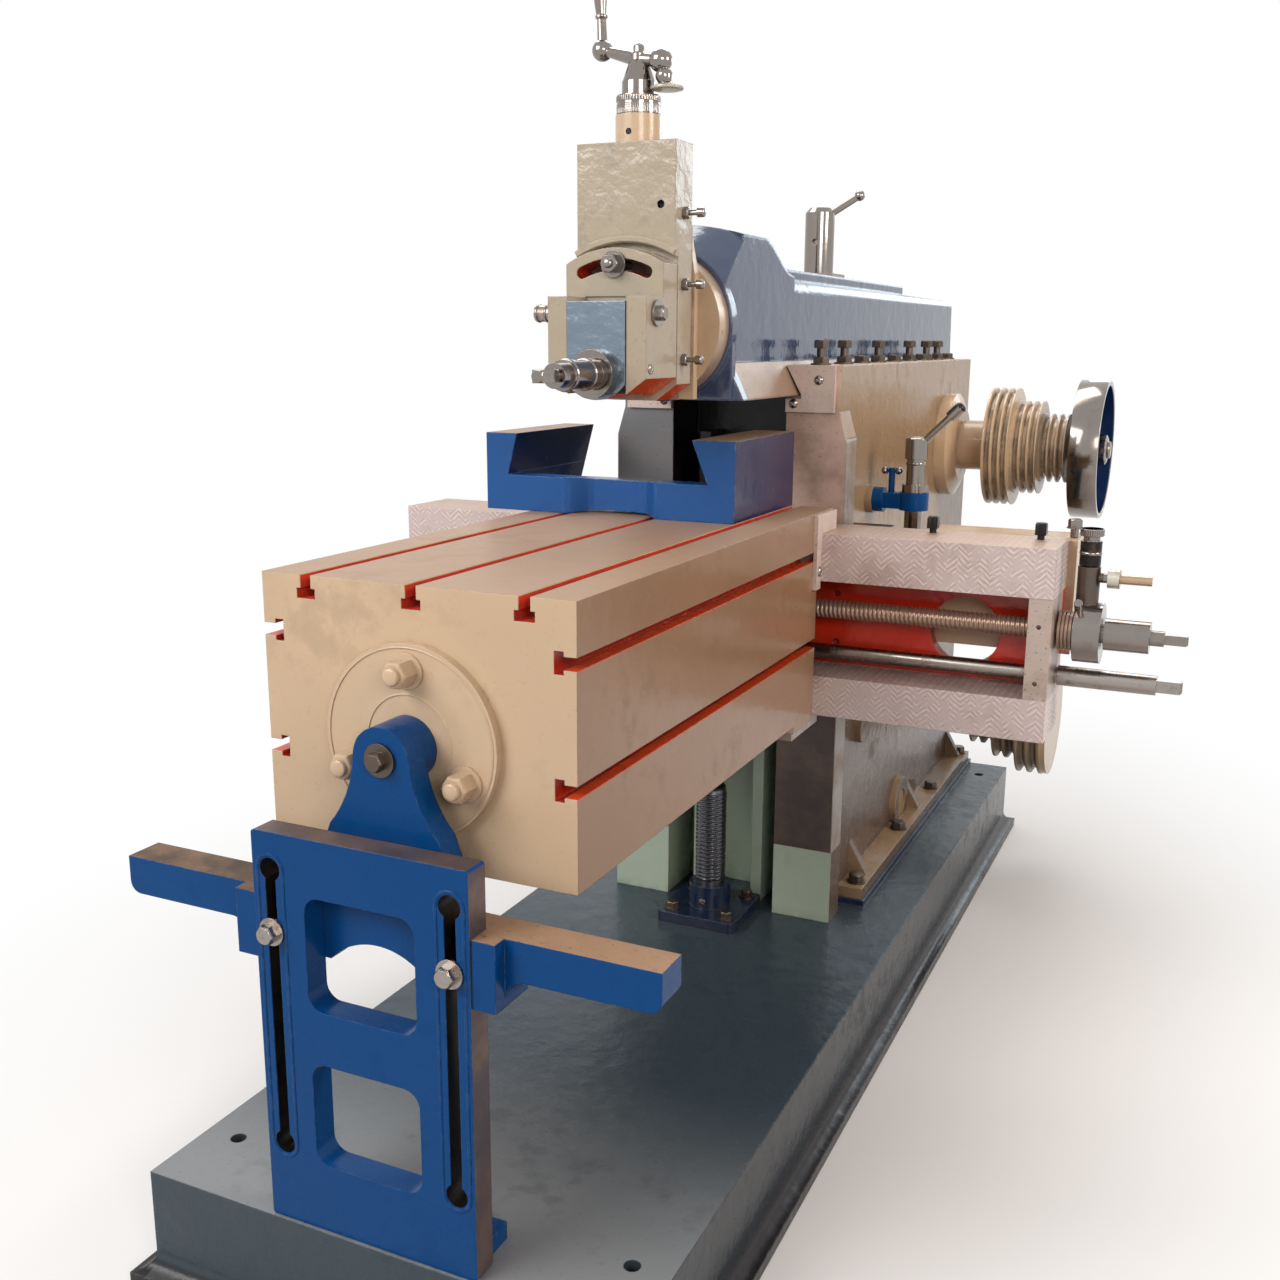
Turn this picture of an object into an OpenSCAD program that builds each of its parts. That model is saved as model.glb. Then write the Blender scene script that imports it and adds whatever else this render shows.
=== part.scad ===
// Crank shaper: hollow base, column, ram with tool head, cross rail, box table and drive.
// Frame: X to the right seen from the front, Y to the rear, Z up.
// Origin on the floor, on the centre plane, below the front ways of the column.

/* [Base] */
// How far the base reaches in front of the table
base_reach = 132; // [120:1:160]
// Distance from the column ways to the rear end of the base
base_rear = 1145; // [1145:1:1300]
// Width over the top of the base
base_w = 724; // [700:2:820]
// Height of the base
base_h = 165; // [140:1:200]
// Thickness of the side and end walls of the base
base_wall = 24; // [16:1:34]
// Thickness of the top of the base
base_top_t = 28; // [20:1:36]
// How far the foot rim stands out
base_rim = 26; // [16:1:34]
// Diameter of each foundation bolt hole
anchor_d = 22; // [16:1:30]
// Half the spacing of the foundation bolts across the base
anchor_x = 308; // [296:1:316]
// Distance of the foundation bolts from the ends of the base
anchor_end = 95; // [70:1:120]

/* [Column] */
// Depth of the column from front to rear
col_d = 1133; // [1120:1:1140]
// Width over the column walls
col_w = 423; // [410:1:432]
// Height of the top of the column above the floor
col_top = 1225; // [1220:1:1228]
// Thickness of the column walls
col_wall = 26; // [18:1:32]
// Width over the front ways
way_w = 456; // [450:1:470]
// Thickness of the front ways from front to rear
way_t = 62; // [50:1:70]
// Half width of the recess between the front ways
recess_w = 112; // [100:1:118]
// Depth of the recess between the front ways
recess_d = 124; // [110:1:126]

/* [Ram] */
// Height of the sliding bottom of the ram
ram_z = 1172; // [1170:1:1174]
// Half width of the dovetail at the bottom
dove_bot = 137; // [132:1:140]
// Half width of the dovetail at the top
dove_top = 107; // [104:1:110]
// Height of the dovetail
dove_h = 60; // [56:1:62]
// Half width of the ram above the dovetail
ram_w = 107; // [104:1:108]
// Height of the flat back of the ram
ram_back_z = 1376; // [1370:1:1380]
// Height of the hump behind the head
ram_hump_z = 1452; // [1446:1:1458]
// Front face of the ram, in front of the ways
ram_front = 300; // [296:1:306]
// Rear face of the ram, behind the ways
ram_rear = 1350; // [1330:1:1370]
// Height of the axis that the tool head swivels on
head_z = 1290; // [1286:1:1294]
// Radius of the swivel face
head_r = 115; // [112:1:118]

/* [Tool head] */
// Half width of the tool slide
slide_w = 82; // [80:1:84]
// Length of the tool slide
slide_l = 380; // [370:1:390]
// Diameter of the down feed screw
feed_screw_d = 24; // [20:1:25]
// Diameter of the clapper hinge pin
hinge_d = 20; // [16:1:22]
// Thickness of the hinged clapper block
clapper_t = 62; // [56:1:64]
// Radius of the tool post ring
post_r = 36; // [34:1:38]

/* [Cross rail] */
// Length of the cross rail
rail_l = 1244; // [1200:2:1260]
// Thickness of the cross rail from front to rear
rail_d = 141; // [136:1:150]
// Height of the underside of the rail above the floor
rail_z = 621; // [600:1:630]
// Height of the lower beam
low_beam_h = 71; // [66:1:74]
// Clear height between the beams
beam_gap = 170; // [166:1:174]
// Height of the upper beam
top_beam_h = 82; // [76:1:88]
// Radius of the window in the web
window_r = 61; // [50:1:66]
// Distance of each window from the middle
window_x = 462; // [440:1:470]
// Diameter of the cross feed screw
cross_screw_d = 30; // [28:1:34]
// Diameter of the elevating shaft
lift_shaft_d = 27; // [24:1:29]
// Diameter of the inner elevating screw
lift_screw_d = 38; // [34:1:40]
// Outer diameter of the elevating sleeve
sleeve_d = 54; // [50:1:58]

/* [Table] */
// Width of the table
table_w = 450; // [430:2:470]
// Height of the table
table_h = 355; // [340:1:365]
// Length of the table
table_l = 889; // [870:1:900]
// Thickness of the table walls
table_wall = 58; // [52:1:64]
// Width of the neck of each tee slot
slot_neck = 16; // [14:1:18]
// Width of the head of each tee slot
slot_head = 28; // [26:1:32]
// Depth of the neck of each tee slot
slot_neck_h = 17; // [14:1:19]
// Depth of the head of each tee slot
slot_head_h = 13; // [11:1:14]
// Spacing of the top tee slots
slot_pitch = 157; // [150:1:162]

/* [Front support] */
// Half width of the support frame
frame_w = 154; // [150:1:158]
// Thickness of the support frame
frame_t = 36; // [34:1:38]
// Height of the top of the support frame above the floor
frame_top = 690; // [680:1:694]
// Half length of the support beam
beam_l = 382; // [380:2:400]
// Half spacing of the two slots in the frame
frame_slot_x = 128; // [126:1:130]

/* [Drive] */
// Height of the drive shaft above the floor
drive_z = 1030; // [1026:1:1032]
// Distance of the drive shaft behind the ways
drive_y = 870; // [866:1:874]
// Diameter of the drive shaft
drive_d = 50; // [44:1:56]
// Radius of the largest step of each cone pulley
cone_r = 134; // [128:1:138]
// How much each step of a cone pulley is smaller than the last
cone_step = 28; // [24:1:30]
// Width of one step of a cone pulley
cone_w = 58; // [54:1:60]
// Radius of the handwheel
wheel_r = 155; // [145:1:160]
// Module of the gear teeth
gear_m = 10; // [10:1:10]
// Teeth of the pinion
pinion_n = 16; // [16:1:16]
// Teeth of the large gear
bull_n = 62; // [62:1:62]
// Height of the motor shaft above the floor
motor_z = 388; // [382:1:392]
// Radius of the motor casing
motor_r = 114; // [106:1:117]
// Height of the pivot that the rocker arm swings on
rocker_z = 235; // [230:1:240]
// Distance of the rocker pivot behind the ways
rocker_y = 560; // [556:1:564]

/* [Clearances] */
// Running clearance between sliding flat faces
slide_gap = 0.3; // [0.2:0.1:0.6]
// Radial clearance of a shaft in its bearing
shaft_gap = 0.05; // [0.02:0.01:0.1]
// Clearance of a fixed piece in its recess
seat_gap = 0.2; // [0.1:0.1:0.4]

/* [Hidden] */
$fn = 48;
eps = 0.01;
table_z = rail_z + 4;
table_top = table_z + table_h;
table_front = rail_d + table_l;
base_front = table_front + base_reach;
anchor_y = [anchor_end + 17 - base_front, base_rear - anchor_end];
low_top = rail_z + low_beam_h;
top_bot = low_top + beam_gap;
rail_top = top_bot + top_beam_h;
rail_half = rail_l / 2;
web_t = 30;
wall_x = col_w / 2;
way_x = way_w / 2;
dove_z = ram_z + dove_h;
strip_x = 190;
cream = [0.72, 0.66, 0.52];
blue = [0.07, 0.22, 0.48];
steel = [0.66, 0.66, 0.67];
dark = [0.22, 0.21, 0.21];
red = [0.62, 0.12, 0.07];

// Rods along each axis, between two places
module rod_x(x0, x1, y, z, r) {
  translate([x0, y, z]) rotate([0, 90, 0]) cylinder(h = x1 - x0, r = r);
}
module rod_y(y0, y1, x, z, r) {
  translate([x, y1, z]) rotate([90, 0, 0]) cylinder(h = y1 - y0, r = r);
}
module rod_z(z0, z1, x, y, r) {
  translate([x, y, z0]) cylinder(h = z1 - z0, r = r);
}
// A flat shape drawn in X and Z, carried along Y
module along_y(y0, y1) {
  translate([0, y1, 0]) rotate([90, 0, 0]) linear_extrude(y1 - y0) children();
}
// A flat shape drawn in Y and Z, carried along X
module along_x(x0, x1) {
  translate([x0, 0, 0]) rotate([90, 0, 90]) linear_extrude(x1 - x0) children();
}
// A block between two corners
module block(x0, x1, y0, y1, z0, z1) {
  translate([x0, y0, z0]) cube([x1 - x0, y1 - y0, z1 - z0]);
}
// A rectangle with round corners
module round_rect(x0, x1, y0, y1, r) {
  translate([x0 + r, y0]) square([x1 - x0 - 2 * r, y1 - y0]);
  translate([x0, y0 + r]) square([x1 - x0, y1 - y0 - 2 * r]);
  for (x = [x0 + r, x1 - r], y = [y0 + r, y1 - r]) translate([x, y]) circle(r);
}
// A slot shape between two heights, with round ends
module slot_shape(x, z0, z1, r) {
  translate([x - r, z0]) square([2 * r, z1 - z0]);
  for (z = [z0, z1]) translate([x, z]) circle(r);
}
module both_x() {
  children();
  mirror([1, 0, 0]) children();
}
// Hexagon heads standing on a face, with a washer below
module hex_z(x, y, z, r, h) {
  rod_z(z, z + 3, x, y, r * 1.25);
  translate([x, y, z + 3]) cylinder(h = h, r = r, $fn = 6);
}
module hex_y(x, z, y, r, h) {
  rod_y(y - 3, y, x, z, r * 1.25);
  translate([x, y - 3, z]) rotate([90, 0, 0]) cylinder(h = h, r = r, $fn = 6);
}
// Points of a circular arc
function arc(cx, cy, r, a0, a1, n = 8) =
  [for (i = [0 : n]) let (a = a0 + (a1 - a0) * i / n) [cx + r * cos(a), cy + r * sin(a)]];

// Base: hollow casting, open below, with a flared foot rim
cove_r = 24;
rim_t = 18;
module flared(w0, w1) {
  polygon(concat([[w0 - base_rim, 0], [w1 + base_rim, 0], [w1 + base_rim, rim_t]],
    arc(w1 + cove_r, rim_t + cove_r, cove_r, 265, 180, 8),
    [[w1, base_h], [w0, base_h]],
    arc(w0 - cove_r, rim_t + cove_r, cove_r, 0, -85, 8),
    [[w0 - base_rim, rim_t]]));
}
bay_y = [-base_front + base_wall, -620, -170, 330, 790, base_rear - base_wall];
rib_t = 20;
strip_y0 = 104;
strip_y1 = col_d + 8;
strip_w = 268;
strip_h = 12;
screw_y = -50;
module base_casting() {
  color(blue) difference() {
    union() {
      intersection() {
        along_y(-base_front - base_rim, base_rear + base_rim) flared(-base_w / 2, base_w / 2);
        along_x(-base_w / 2 - base_rim, base_w / 2 + base_rim) flared(-base_front, base_rear);
      }
      both_x() block(wall_x + 1, strip_w, strip_y0, strip_y1, base_h - 1, base_h + strip_h);
      both_x() block(70, 105, drive_y - 90, drive_y + 90, base_h - 1, motor_z - 132);
    }
    for (i = [0 : len(bay_y) - 2])
      block(-base_w / 2 + base_wall, base_w / 2 - base_wall,
        bay_y[i] + (i == 0 ? 0 : rib_t / 2),
        bay_y[i + 1] - (i == len(bay_y) - 2 ? 0 : rib_t / 2), -1, base_h - base_top_t);
    for (x = [-anchor_x, anchor_x], y = anchor_y)
      rod_z(base_h - base_top_t - 1, base_h + 1, x, y, anchor_d / 2);
    rod_z(base_h - base_top_t - 1, base_h + 1, 0, screw_y, lift_screw_d / 2 + 3);
  }
}

// Column: hollow box with front ways, a recess between them and a bed for the ram
cav_top = 1128;
channel_z = ram_z - slide_gap;
bull_y = rocker_y;
centre_dist = gear_m * (pinion_n + bull_n) / 2;
bull_z = drive_z - sqrt(pow(centre_dist, 2) - pow(drive_y - bull_y, 2));
cav_y0 = recess_d + 40;
foot_z0 = base_h + strip_h;
foot_h = 22;
module column_casting() {
  color(cream) difference() {
    union() {
      translate([0, 0, base_h]) linear_extrude(col_top - base_h)
        round_rect(-wall_x, wall_x, 20, col_d, 24);
      along_y(0, way_t) polygon([[-way_x, base_h], [way_x, base_h], [way_x, col_top - 134],
        [wall_x + 1, col_top - 81], [wall_x + 1, col_top], [-wall_x - 1, col_top],
        [-wall_x - 1, col_top - 81], [-way_x, col_top - 134]]);
      both_x() block(wall_x - 2, 262, strip_y0 + 6, strip_y1 - 6, foot_z0, foot_z0 + foot_h);
      both_x() for (y = [strip_y0 + 90, 640, strip_y1 - 60])
        along_y(y - 10, y + 10) polygon([[wall_x - 2, foot_z0 + foot_h - 1],
          [250, foot_z0 + foot_h - 1], [wall_x - 2, foot_z0 + foot_h + 70]]);
      for (z = lever_z) rod_x(wall_x - 2, wall_x + 14, lever_y, z, 27);
      rod_x(-wall_x - 14, -wall_x + 2, rocker_y, rocker_z, 58);
      rod_x(wall_x - 2, wall_x + 14, rocker_y, rocker_z, 58);
    }
    block(-wall_x + col_wall, wall_x - col_wall, cav_y0, col_d - col_wall, base_h - 1, cav_top);
    block(-recess_w, recess_w, -1, recess_d, base_h - 1, col_top + 1);
    block(-strip_x - seat_gap, strip_x + seat_gap, -1, col_d + 1, channel_z, col_top + 1);
    block(-60, 60, cav_y0, 990, cav_top - 1, channel_z + 1);
    rod_x(wall_x - col_wall - 1, wall_x + 15, drive_y, drive_z, 70 + seat_gap);
    rod_x(wall_x - col_wall - 1, wall_x + 15, drive_y, motor_z, 62);
    rod_x(-wall_x - 15, wall_x + 15, rocker_y, rocker_z, 30 + seat_gap);
    rod_x(wall_x - col_wall - 1, wall_x + 1, bull_y, bull_z, 60 + seat_gap);
  }
  color(cream) both_x() block(51, 73, 40, recess_d + 1, base_h, cav_top - 30);
}

gib_y = [45, 190, 310, 430, 560, 690, 810, 852, 960, 1070];
lock_y = [45, 190, 430, 690, 852, 960];
foot_bolt_y = [strip_y0 + 40, 480, 790, strip_y1 - 30];
foot_size = 80;
support_y0 = base_front - 4.5;
module frame_bolts() {
  color(dark) {
    both_x() for (y = gib_y) hex_z(160, y, col_top, 15, 9);
    both_x() for (y = lock_y) {
      rod_z(col_top + 12, col_top + 30, 160, y, 8);
      translate([160, y, col_top + 30]) cylinder(h = 12, r = 14, $fn = 6);
    }
    both_x() for (y = foot_bolt_y) hex_z(240, y, foot_z0 + foot_h, 15, 12);
    both_x() for (y = [-1, 1]) hex_z(foot_size - 24, screw_y + y * (foot_size - 24),
      base_h + 20, 12, 10);
    both_x() hex_z(100, -support_y0 + frame_t + 32, base_h + 24, 14, 12);
  }
}

// Gib strips: the ram's dovetail runs between them
function dove(z) = dove_bot - (z - ram_z) * (dove_bot - dove_top) / dove_h;
module ram_gib_strips() {
  color(steel) both_x() along_y(2, col_d - 20) polygon([
    [dove(col_top) + slide_gap * 1.3, col_top], [dove(ram_z) + slide_gap * 1.3, ram_z],
    [dove_bot + 2, channel_z], [strip_x, channel_z], [strip_x, col_top]]);
}
plate_x = strip_x + 14;
module way_wiper_plates() {
  color(steel) both_x() {
    difference() {
      along_y(-9, -0.01) polygon([[dove_top + 6, col_top], [plate_x, col_top],
        [plate_x, col_top - 83], [dove_bot + 5, col_top - 83], [dove_bot + 5, channel_z + 2]]);
      rod_y(-10, 1, strip_x - 16, col_top - 26, 5);
    }
    rod_y(-12, -0.02, strip_x - 16, col_top - 26, 4.8);
    block(recess_w + 1, dove_bot + 4.8, -9, -0.01, col_top - 83, channel_z - 6);
    rod_y(-12, -9, recess_w + 16, col_top - 68, 5);
  }
}
// Bearing of the drive shaft, with an oval flange on the column wall
module drive_bearing() {
  color(cream) difference() {
    union() {
      translate([wall_x, drive_y, drive_z]) rotate([0, 90, 0]) cylinder(h = 26, r = 118);
      translate([wall_x + 26, drive_y, drive_z]) rotate([0, 90, 0])
        cylinder(h = 16, r1 = 118, r2 = 84);
      rod_x(wall_x + 20, wall_x + 98, drive_y, drive_z, 57);
      rod_x(150, wall_x + 1, drive_y, drive_z, 70);
    }
    rod_x(140, wall_x + 110, drive_y, drive_z, drive_d / 2 + shaft_gap);
  }
  color(steel) for (a = [45 : 90 : 315])
    translate([wall_x + 26, drive_y + 101 * cos(a), drive_z + 101 * sin(a)])
      rotate([0, 90, 0]) cylinder(h = 2, r = 6);
}

// Support frame: upright plate with two windows and two long slots, on a foot
slot_top = frame_top - 48;
slot_bot = slot_top - 368;
module support_frame() {
  y0 = -support_y0;
  color(blue) {
    difference() {
      union() {
        along_y(y0, y0 + frame_t) round_rect(-frame_w, frame_w, base_h, frame_top, 5);
        block(-frame_w + 10, frame_w - 10, y0 + frame_t - 1, y0 + frame_t + 50, base_h,
          base_h + 24);
        block(-frame_w + 30, -frame_w + 60, y0 + frame_t - 1, y0 + frame_t + 10, base_h + 20,
          frame_top - 440);
        block(frame_w - 60, frame_w - 30, y0 + frame_t - 1, y0 + frame_t + 10, base_h + 20,
          frame_top - 440);
      }
      along_y(y0 - 1, y0 + frame_t + 1) {
        round_rect(-79, 79, frame_top - 222, frame_top - 74, 22);
        round_rect(-79, 79, frame_top - 432, frame_top - 293, 22);
      }
      both_x() along_y(y0 - 1, y0 + frame_t + 60) {
        slot_shape(frame_slot_x, slot_bot, slot_top, 8);
        translate([frame_slot_x, slot_bot]) circle(15);
        translate([frame_slot_x, slot_top]) circle(15);
      }
    }
  }
}
module screw_foot() {
  color(blue) difference() {
    union() {
      translate([0, screw_y, base_h]) linear_extrude(20)
        round_rect(-foot_size, foot_size, -foot_size, foot_size, 12);
      rod_z(base_h + 19, base_h + 66, 0, screw_y, 40);
    }
    rod_z(base_h - 1, base_h + 67, 0, screw_y, sleeve_d / 2 + seat_gap);
    rod_y(screw_y - 41, screw_y - 20, 0, base_h + 36, 5);
  }
}
sleeve_top = 434;
module elevating_sleeve() {
  color(steel) difference() {
    union() {
      rod_z(base_h, sleeve_top - 6, 0, screw_y, sleeve_d / 2);
      translate([0, screw_y, sleeve_top - 6 - eps])
        cylinder(h = 6, r1 = sleeve_d / 2, r2 = sleeve_d / 2 - 5);
    }
    rod_z(base_h - 1, sleeve_top + 1, 0, screw_y, lift_screw_d / 2 + 0.3);
  }
}

// Brackets that carry the shift lever beside the column
lever_z = [968, 500];
lever_x = 303;
lever_y = 210;
lever_r = 17;
clamp_x = 258;
tee_l = 16;
module lever_brackets() {
  color(blue) for (z = lever_z) difference() {
    union() {
      rod_x(wall_x + 14, wall_x + 34, lever_y, z, 24);
      block(wall_x + 20, lever_x, lever_y - 16, lever_y + 16, z - 15, z + 15);
      rod_z(z - 17, z + 17, lever_x, lever_y, 28);
    }
    rod_z(z - 18, z + 18, lever_x, lever_y, lever_r + shaft_gap);
    rod_z(z + 1, z + 16, clamp_x, lever_y, 6 + shaft_gap);
  }
}
module motor() {
  color([0.35, 0.42, 0.45]) {
    difference() {
      union() {
        rod_x(-120, 120, drive_y, motor_z, motor_r);
        both_x() for (y = [-1, 1]) block(62, 112, drive_y + y * 82 - 28, drive_y + y * 82 + 28,
          motor_z - 132, motor_z - 80);
        rod_x(-150, -118, drive_y, motor_z, motor_r - 8);
        rod_x(118, 146, drive_y, motor_z, motor_r - 14);
      }
      rod_x(20, 150, drive_y, motor_z, 19 + shaft_gap);
    }
  }
}
// Fixed pins of the mechanism: rocker pivot and journal of the large gear
journal_r = 60;
module mechanism_pins() {
  color(steel) {
    rod_x(-wall_x - 10, wall_x + 10, rocker_y, rocker_z, 30);
    rod_x(74, wall_x - 2, bull_y, bull_z, journal_r);
    rod_x(wall_x - col_wall - 8, wall_x - col_wall - seat_gap, bull_y, bull_z, journal_r + 20);
  }
}

// Cross rail: two beams joined by a web with round windows
feed_y = -72;
feed_z = 801;
shaft_z = 718;
lip_y = 60;
module cross_rail_casting() {
  color(steel) difference() {
    block(-rail_half, rail_half, -rail_d, -slide_gap, rail_z, rail_top);
    block(-rail_half - 1, rail_half + 1, -rail_d - 1, -web_t, low_top, top_bot);
    both_x() rod_y(-rail_d, 1, window_x, low_top + beam_gap / 2 - 3, window_r);
    rod_z(rail_z - 1, low_top - 22, 0, screw_y, sleeve_d / 2 + 3);
    rod_z(low_top - 23, low_top + 1, 0, screw_y, lift_screw_d / 2 + shaft_gap);
    for (x = [-230, 230], z = [low_top + 40, top_bot - 40])
      rod_y(-web_t - 1, -web_t + 12, x, z, 6);
    block(-36, 52, -web_t - 1, -web_t + 12, low_top, shaft_z + 30);
  }
}
end_w = 38;
journal_d = 26;
module rail_end_blocks() {
  color(steel) both_x() difference() {
    block(rail_half - end_w, rail_half, -rail_d + 1, -web_t - eps, low_top + eps, top_bot - eps);
    rod_x(rail_half - end_w - 1, rail_half + 1, feed_y, feed_z, journal_d / 2 + shaft_gap);
    rod_x(rail_half - end_w - 1, rail_half + 1, screw_y, shaft_z, lift_shaft_d / 2 + shaft_gap);
    for (z = [feed_z + 14, shaft_z + 2]) rod_y(-rail_d, -rail_d + 12, rail_half - 20, z, 4);
  }
}
fbox_d = 112;
module feed_box() {
  color(cream) difference() {
    union() {
      block(rail_half - 242, rail_half + 14, 0.01, fbox_d, rail_top - 200, rail_top - 4);
      rod_y(0.01, 26, rail_half - 46, rail_top - 232, 40);
    }
    block(rail_half - 218, rail_half - 10, 26, fbox_d + 1, rail_top - 176, rail_top - 28);
  }
}
module rail_keepers() {
  color(dark) both_x() {
    block(way_x + slide_gap, way_x + 70, 0, way_t + slide_gap, rail_z + 6, rail_top - 8);
    block(wall_x + 3, way_x + 70, way_t + slide_gap, way_t + 26, rail_z + 6, rail_top - 8);
    for (z = [rail_z + 50, (rail_z + rail_top) / 2, rail_top - 50])
      rod_y(way_t + 26, way_t + 38, way_x + 46, z, 11);
  }
}
module rail_clamp_bolts() {
  color(dark) for (x = [rail_half - 224, rail_half - 42]) {
    rod_z(rail_top, rail_top + 10, x, -34, 9);
    block(x - 12, x + 12, -46, -22, rail_top + 10, rail_top + 28);
  }
  color(steel) {
    rod_z(rail_top - 4, rail_top + 14, rail_half + 2, 45, 8);
    translate([rail_half + 2, 45, rail_top + 14]) cylinder(h = 14, r = 13, $fn = 6);
  }
}

// Elevating screw: hangs in the lower beam, with its bevel wheel above
lift_down = 230;
lift_up = 75;
screw_low = base_h + 80;
bevel_r = shaft_z - low_top - 5;
bevel_h = bevel_r - lift_shaft_d / 2 - 1;
module elevating_screw() {
  color(steel) {
    rod_z(screw_low, low_top + slide_gap, 0, screw_y, lift_screw_d / 2);
    rod_z(low_top + slide_gap - eps, low_top + 5, 0, screw_y, bevel_r);
    translate([0, screw_y, low_top + 5 - eps])
      cylinder(h = bevel_h, r1 = bevel_r - 1, r2 = bevel_r - 1 - bevel_h);
  }
}
lift_end = rail_half + 198;
module elevating_shaft() {
  color(steel) {
    rod_x(-rail_half - 4, rail_half + 4, screw_y, shaft_z, lift_shaft_d / 2);
    rod_x(rail_half + 3.99, lift_end - 37, screw_y, shaft_z, 17);
    block(lift_end - 37 - eps, lift_end, screw_y - 10, screw_y + 10, shaft_z - 10, shaft_z + 10);
    rod_x(bevel_r, bevel_r + 14, screw_y, shaft_z, bevel_r - 1.5);
    translate([bevel_r - 9, screw_y, shaft_z]) rotate([0, 90, 0])
      cylinder(h = 9.01, r1 = bevel_r - 11, r2 = bevel_r - 2);
  }
}
feed_end = rail_half + 201;
module cross_feed_screw() {
  color(steel) {
    rod_x(-rail_half - 4, rail_half + 4, feed_y, feed_z, journal_d / 2);
    rod_x(-rail_half + end_w + 1, rail_half - end_w - 1, feed_y, feed_z, cross_screw_d / 2);
    for (x = [0 : 3]) rod_x(rail_half + 4 + x * 6, rail_half + 7 + x * 6 + 1, feed_y, feed_z, 33);
    rod_x(rail_half + 4, rail_half + 28, feed_y, feed_z, 28);
    rod_x(rail_half + 28 - eps, feed_end - 55, feed_y, feed_z, 16);
    rod_x(feed_end - 125, feed_end - 55, feed_y, feed_z, 27);
    rod_x(feed_end - 55 - eps, feed_end - 33, feed_y, feed_z, 13);
    block(feed_end - 33 - eps, feed_end, feed_y - 8, feed_y + 8, feed_z - 8, feed_z + 8);
  }
}
pawl_x0 = rail_half + 30;
pawl_x1 = rail_half + 72;
plunger_x = rail_half + 44;
module feed_pawl_arm() {
  color(steel) {
    difference() {
      union() {
        rod_x(pawl_x0, pawl_x1, feed_y, feed_z, 50);
        rod_z(feed_z + 30, feed_z + 110, plunger_x, feed_y, 18);
      }
      rod_x(pawl_x0 - 1, pawl_x1 + 1, feed_y, feed_z, 16 + shaft_gap);
      rod_z(feed_z + 60, feed_z + 111, plunger_x, feed_y, 11 + shaft_gap);
    }
    rod_x(plunger_x + 15, plunger_x + 30, feed_y, feed_z + 92, 8);
    rod_x(plunger_x + 30 - eps, plunger_x + 49, feed_y, feed_z + 92, 16);
    rod_x(plunger_x + 48, plunger_x + 98, feed_y, feed_z + 92, 8);
    translate([plunger_x - 8, feed_y - 34, feed_z + 44]) rotate([45, 0, 0])
      cylinder(h = 34, r = 7, center = true);
  }
}
module feed_plunger() {
  color(dark) {
    rod_z(feed_z + 62, feed_z + 112, plunger_x, feed_y, 11);
    rod_z(feed_z + 112 - eps, feed_z + 152, plunger_x, feed_y, 17);
    rod_z(feed_z + 152 - eps, feed_z + 160, plunger_x, feed_y, 13);
    rod_z(feed_z + 160 - eps, feed_z + 172, plunger_x, feed_y, 18);
  }
}

// Table: box casting with tee slots on the top and both sides
side_slots = [74, 228];
module tee_top(x) {
  translate([x - slot_neck / 2, table_top - slot_neck_h - 1])
    square([slot_neck, slot_neck_h + 2]);
  translate([x - slot_head / 2, table_top - slot_neck_h - slot_head_h])
    square([slot_head, slot_head_h]);
}
module tee_side(h) {
  translate([table_w / 2 - slot_neck_h - 1, table_top - h - slot_neck / 2])
    square([slot_neck_h + 2, slot_neck]);
  translate([table_w / 2 - slot_neck_h - slot_head_h, table_top - h - slot_head / 2])
    square([slot_head_h, slot_head]);
}
front_wall = 50;
module table_casting() {
  color(cream) difference() {
    union() {
      block(-table_w / 2, table_w / 2, -table_front, -rail_d - slide_gap, table_z, table_top);
      block(-table_w / 2, table_w / 2, -rail_d - slide_gap - 1, -lip_y, rail_top + slide_gap,
        table_top);
      block(-table_w / 2, table_w / 2, -rail_d - 99, -rail_d - slide_gap, rail_z - 9,
        table_z + 1);
    }
    along_y(-table_front - 1, 1) {
      for (i = [-1 : 1]) tee_top(i * slot_pitch);
      for (h = side_slots) {
        tee_side(h);
        mirror([1, 0]) tee_side(h);
      }
    }
    along_y(-table_front + front_wall, -rail_d - 44)
      round_rect(-table_w / 2 + table_wall, table_w / 2 - table_wall, table_z + 40,
        table_top - table_wall, 20);
    block(-70, 70, -rail_d - 45, -rail_d + 1, feed_z - 60, feed_z + 60);
    rod_y(-table_front - 1, -table_front + front_wall + 1, 0, flange_z, 70);
  }
}
module table_keeper() {
  color(steel) both_x() {
    block(20, table_w / 2 - 4, -rail_d - 99, -rail_d + 41, rail_z - 23, rail_z - 9 - eps);
    block(20, table_w / 2 - 4, -rail_d + 0.5, -rail_d + 41, rail_z - 9.1, rail_z - slide_gap);
  }
}
wiper_t = 7;
module table_wipers() {
  color(steel) both_x() {
    block(table_w / 2, table_w / 2 + wiper_t, -rail_d - 24, -rail_d - slide_gap,
      table_top - 131, table_top - 2);
    block(table_w / 2, table_w / 2 + wiper_t, -rail_d - 1, -lip_y, rail_top + slide_gap,
      table_top - 2);
    rod_x(table_w / 2 + wiper_t - eps, table_w / 2 + wiper_t + 4, -rail_d - 9,
      table_top - 100, 6);
  }
}
flange_z = 787;
flange_r = 124;
nut_circle = 90;
nut_at = [90, -27, 203];
module front_flange() {
  color(cream) difference() {
    union() {
      rod_y(-table_front - 12, -table_front, 0, flange_z, flange_r);
      rod_y(-table_front, -table_front + 30, 0, flange_z, 70 - seat_gap);
    }
    rod_y(-table_front - 13, -table_front + 31, 0, pivot_z, pivot_r + shaft_gap);
  }
}
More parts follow.
